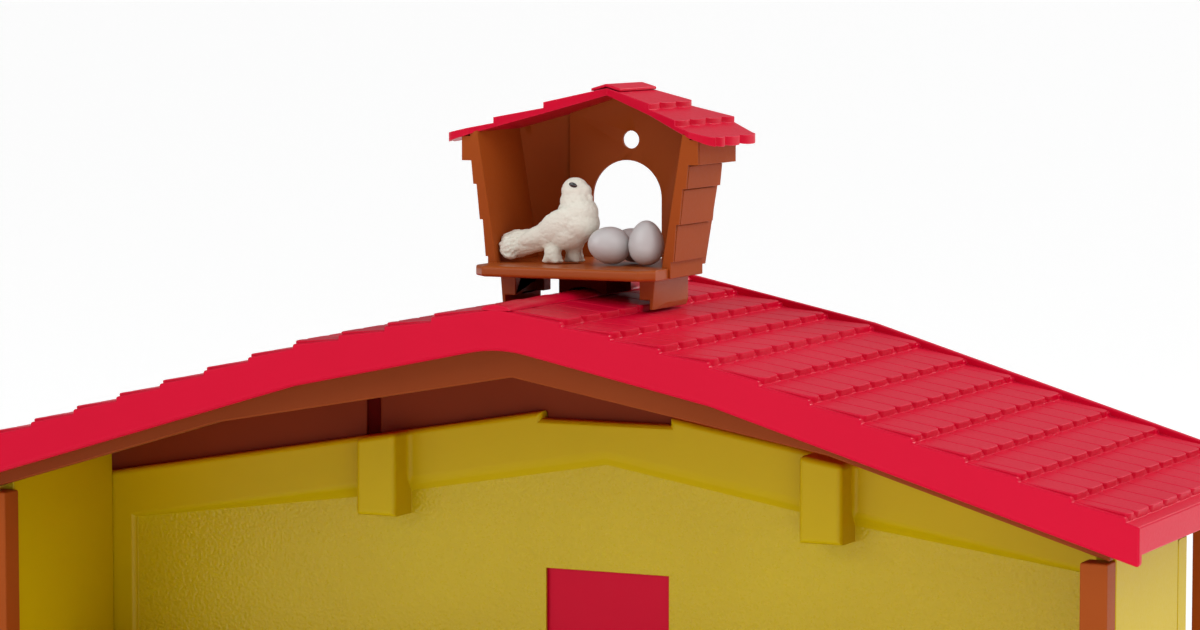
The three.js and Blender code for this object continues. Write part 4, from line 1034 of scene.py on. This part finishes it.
feathers = {
    "cells": (0.3, 0.1, 0.62, 0.55, 0.16), "skin": (1.1, 1.3),  # how fine both patterns are
    "edge": 0.12, "edgeWidth": 0.5, "fine": 0.09, "sink": 0.06, "tailFrom": -13.0,
    "tailShare": 2.2, "headFrom": 20.5, "headShare": 0.35, "calmTo": 0.6, "calmOver": 1.5,
    "soleHeight": 0.35,
}


def ball(name, segments, rings, radius):
    selectNone()
    bpy.ops.mesh.primitive_uv_sphere_add(segments=segments, ring_count=rings, radius=radius)
    piece = bpy.context.object
    piece.name = name
    return piece


def finishFigure(piece, body, slot, *nodes, look=None):
    onlySelect(piece)
    bpy.ops.object.shade_smooth()
    toCote(piece)
    dressPiece(piece, body, slot, *nodes, look=look)


def blob(x, y, z, rx, ry, rz, pitch=0.0):
    piece = ball("blob", *dove["segments"], mm)
    piece.data.transform(shifted(x, y, z) @ Matrix.Rotation(-pitch, 4, "Y")
                         @ Matrix.Diagonal((rx, ry, rz, 1)))
    return piece


def doveLeg(x, y):
    # a thick feathered leg that widens to short toes
    parts = [blob(x + dx, y * share, *size) for dx, share, *size in dove["leg"]]
    for angle, reach in dove["toes"]:
        ahead, aside, up = math.cos(angle), math.sin(angle), dove["toeLift"]
        parts.append(blob(x + dove["toeAhead"] * ahead + dove["toeStart"],
                          y + dove["toeAside"] * aside, up, reach, *dove["toeSize"]))
        parts.append(blob(x + dove["heelStart"], y + dove["heelAside"] * aside, up,
                          *dove["heelSize"]))
    return parts


def ruffle(point):
    # shallow overlapping feathers: long cells along the body, and a finer skin over them
    x, y, z = point
    long, drift, wide, tall, lean = feathers["cells"]
    cells = noise.voronoi(Vector((x * long + z * drift, y * wide, z * tall - x * lean)))[0]
    width = feathers["edgeWidth"]
    edge = min(cells[1] - cells[0], width) / width
    along, across = feathers["skin"]
    fine = noise.noise(Vector((x * along, y * across, z * across)))
    depth = feathers["edge"] * edge + feathers["fine"] * fine - feathers["sink"]
    if x < feathers["tailFrom"]:
        depth *= feathers["tailShare"]
    if z > feathers["headFrom"]:
        depth *= feathers["headShare"]
    return depth * min(max((z - feathers["calmTo"]) / feathers["calmOver"], 0), 1)


def modelDove():
    parts = [blob(*values) for values in dove["body"] + dove["tail"]]
    for x, y, *rest in dove["wings"]:
        parts += [blob(x, hand * y, *rest) for hand in (-1, 1)]
    for x, y in dove["legs"]:
        parts += doveLeg(x, y)
    bird = joinPieces("doveFigure", parts)
    applyModifier(bird, "REMESH", mode="VOXEL", voxel_size=dove["voxel"] * mm)
    applyModifier(bird, "SMOOTH", factor=dove["smooth"], iterations=dove["smoothSteps"])
    vertices = bird.data.vertices
    normals = [vertex.normal.copy() for vertex in vertices]
    for vertex, normal in zip(vertices, normals):
        vertex.co += normal * ruffle(vertex.co / mm) * mm
        vertex.co.z = max(vertex.co.z, feathers["soleHeight"] * mm)
    x, y = dove["place"]
    bird.data.transform(shifted(x, y, 0))
    finishFigure(bird, "dove", "dove_white", "dove")
    ahead, aside, up = dove["eyePlace"]
    for hand, side in (("Near", -1), ("Far", 1)):
        eye = blob(0, 0, 0, *dove["eye"], dove["eyePitch"])
        eye.name = f"doveEye{hand}"
        eye.data.transform(shifted(x + ahead, y + side * aside, up)
                           @ Matrix.Rotation(-side * dove["eyeTilt"], 4, "X"))
        finishFigure(eye, "dove", "dove_white", look="eyeBlack")


modelDove()

eggs = {
    "segments": (40, 28), "radius": 5.7, "length": 14.4, "blunt": 0.12, "lift": 0.3,
    # size, X and Y as shares of the first egg's radius, tilt, turn
    "shares": [(1, 1.51, 0.63, 1.4, -2), (0.95, 3.58, 0.9, 0, 0), (0.9, 1.87, 2.81, 1.35, 2.9)],
}


def modelEgg(number, size, x, y, tilt, turn):
    egg = ball(f"eggPiece{number}", *eggs["segments"], 1)
    radius, length = eggs["radius"] * size, eggs["length"] * size
    for vertex in egg.data.vertices:
        wide = radius * (1 - eggs["blunt"] * vertex.co.z)
        vertex.co = Vector((vertex.co.x * wide, vertex.co.y * wide,
                            vertex.co.z * length / 2)) * mm
    egg.data.transform(Matrix.Rotation(turn, 4, "Z") @ Matrix.Rotation(tilt, 4, "Y"))
    lowest = min(vertex.co.z for vertex in egg.data.vertices) / mm
    egg.data.transform(shifted(x * eggs["radius"], y * eggs["radius"], eggs["lift"] - lowest))
    finishFigure(egg, "eggs", "egg_lilac", f"egg_{number}")


for number, share in enumerate(eggs["shares"], 1):
    modelEgg(number, *share)
print("dove and eggs done")

stage = {"floorRadius": 70, "floorDrop": 0.0005, "floorShade": 0.93, "floorGlow": 0.23,
         "floorRoughness": 0.9, "floorSpecular": 0.1, "sky": 0.16}
softboxes = {  # place, aim, size and power
    "overhead": ((0.5, -0.2, 1.6), (0, 0, 0.25), (1.5, 1.2), 6.0),
    "front": ((-0.34, -1.2, 0.14), (0.04, 0, 0.22), (0.45, 0.3), 0.5),
    "frontRight": ((0.38, -0.55, 0.1), (0.1, 0, 0.2), (0.3, 0.2), 0.35),
    "backSky": ((-0.5, 1.35, 0.68), (0, 0, 0.25), (1.6, 0.5), 0.28),
}
suns = {  # where from, strength and spread in degrees
    "key": ((-0.5, -0.8, 0.6), 1.15, 50),
    "side": ((0.9, -0.15, 0.45), 0.82, 40),
    "behind": ((0.35, 0.9, 0.7), 1.85, 25),
}
view = {"place": (0.5239, -1.1080, 0.3825), "aim": (0.00732, -0.0093, 0.2789), "lens": 120.6,
        "sensor": 36, "clipEnd": 200}


def stageFloor():
    selectNone()
    bpy.ops.mesh.primitive_circle_add(vertices=64, radius=stage["floorRadius"],
                                      fill_type="NGON", location=(0, 0, -stage["floorDrop"]))
    floor = bpy.context.object
    floor.name = "paleFloor"
    material = newMaterial("paleFloor", stage["floorRoughness"], stage["floorSpecular"])
    inputs = material.node_tree.nodes["Principled BSDF"].inputs
    inputs["Base Color"].default_value = (*[stage["floorShade"]] * 3, 1)
    inputs["Emission Color"].default_value = (1, 1, 1, 1)
    inputs["Emission Strength"].default_value = stage["floorGlow"]
    floor.data.materials.append(material)


def aimed(name, data, place, aim):
    thing = linkedObject(name, data)
    thing.location = place
    thing.rotation_euler = (Vector(aim) - Vector(place)).to_track_quat("-Z", "Y").to_euler()
    return thing


def softbox(name, place, aim, size, power):
    lamp = bpy.data.lights.new(name, "AREA")
    lamp.shape = "RECTANGLE"
    lamp.size, lamp.size_y = size
    lamp.energy = power
    aimed(name, lamp, place, aim)


def sunLamp(name, direction, strength, spread):
    lamp = bpy.data.lights.new(name, "SUN")
    lamp.energy = strength
    lamp.angle = math.radians(spread)
    aimed(name, lamp, (0, 0, 0), -Vector(direction))


def studioSky():
    world = bpy.data.worlds.new("studio")
    world.use_nodes = True
    sky = world.node_tree.nodes["Background"]
    sky.inputs["Color"].default_value = (1, 1, 1, 1)
    sky.inputs["Strength"].default_value = stage["sky"]
    bpy.context.scene.world = world


def photoCamera():
    camera = aimed("camera", bpy.data.cameras.new("camera"), view["place"], view["aim"])
    camera.data.lens = view["lens"]
    camera.data.sensor_width = view["sensor"]
    camera.data.clip_end = view["clipEnd"]
    bpy.context.scene.camera = camera


stageFloor()
for name, values in softboxes.items():
    softbox(name, *values)
for name, values in suns.items():
    sunLamp(name, *values)
studioSky()
bpy.context.scene.view_settings.view_transform = "Standard"
photoCamera()
print("stage done")
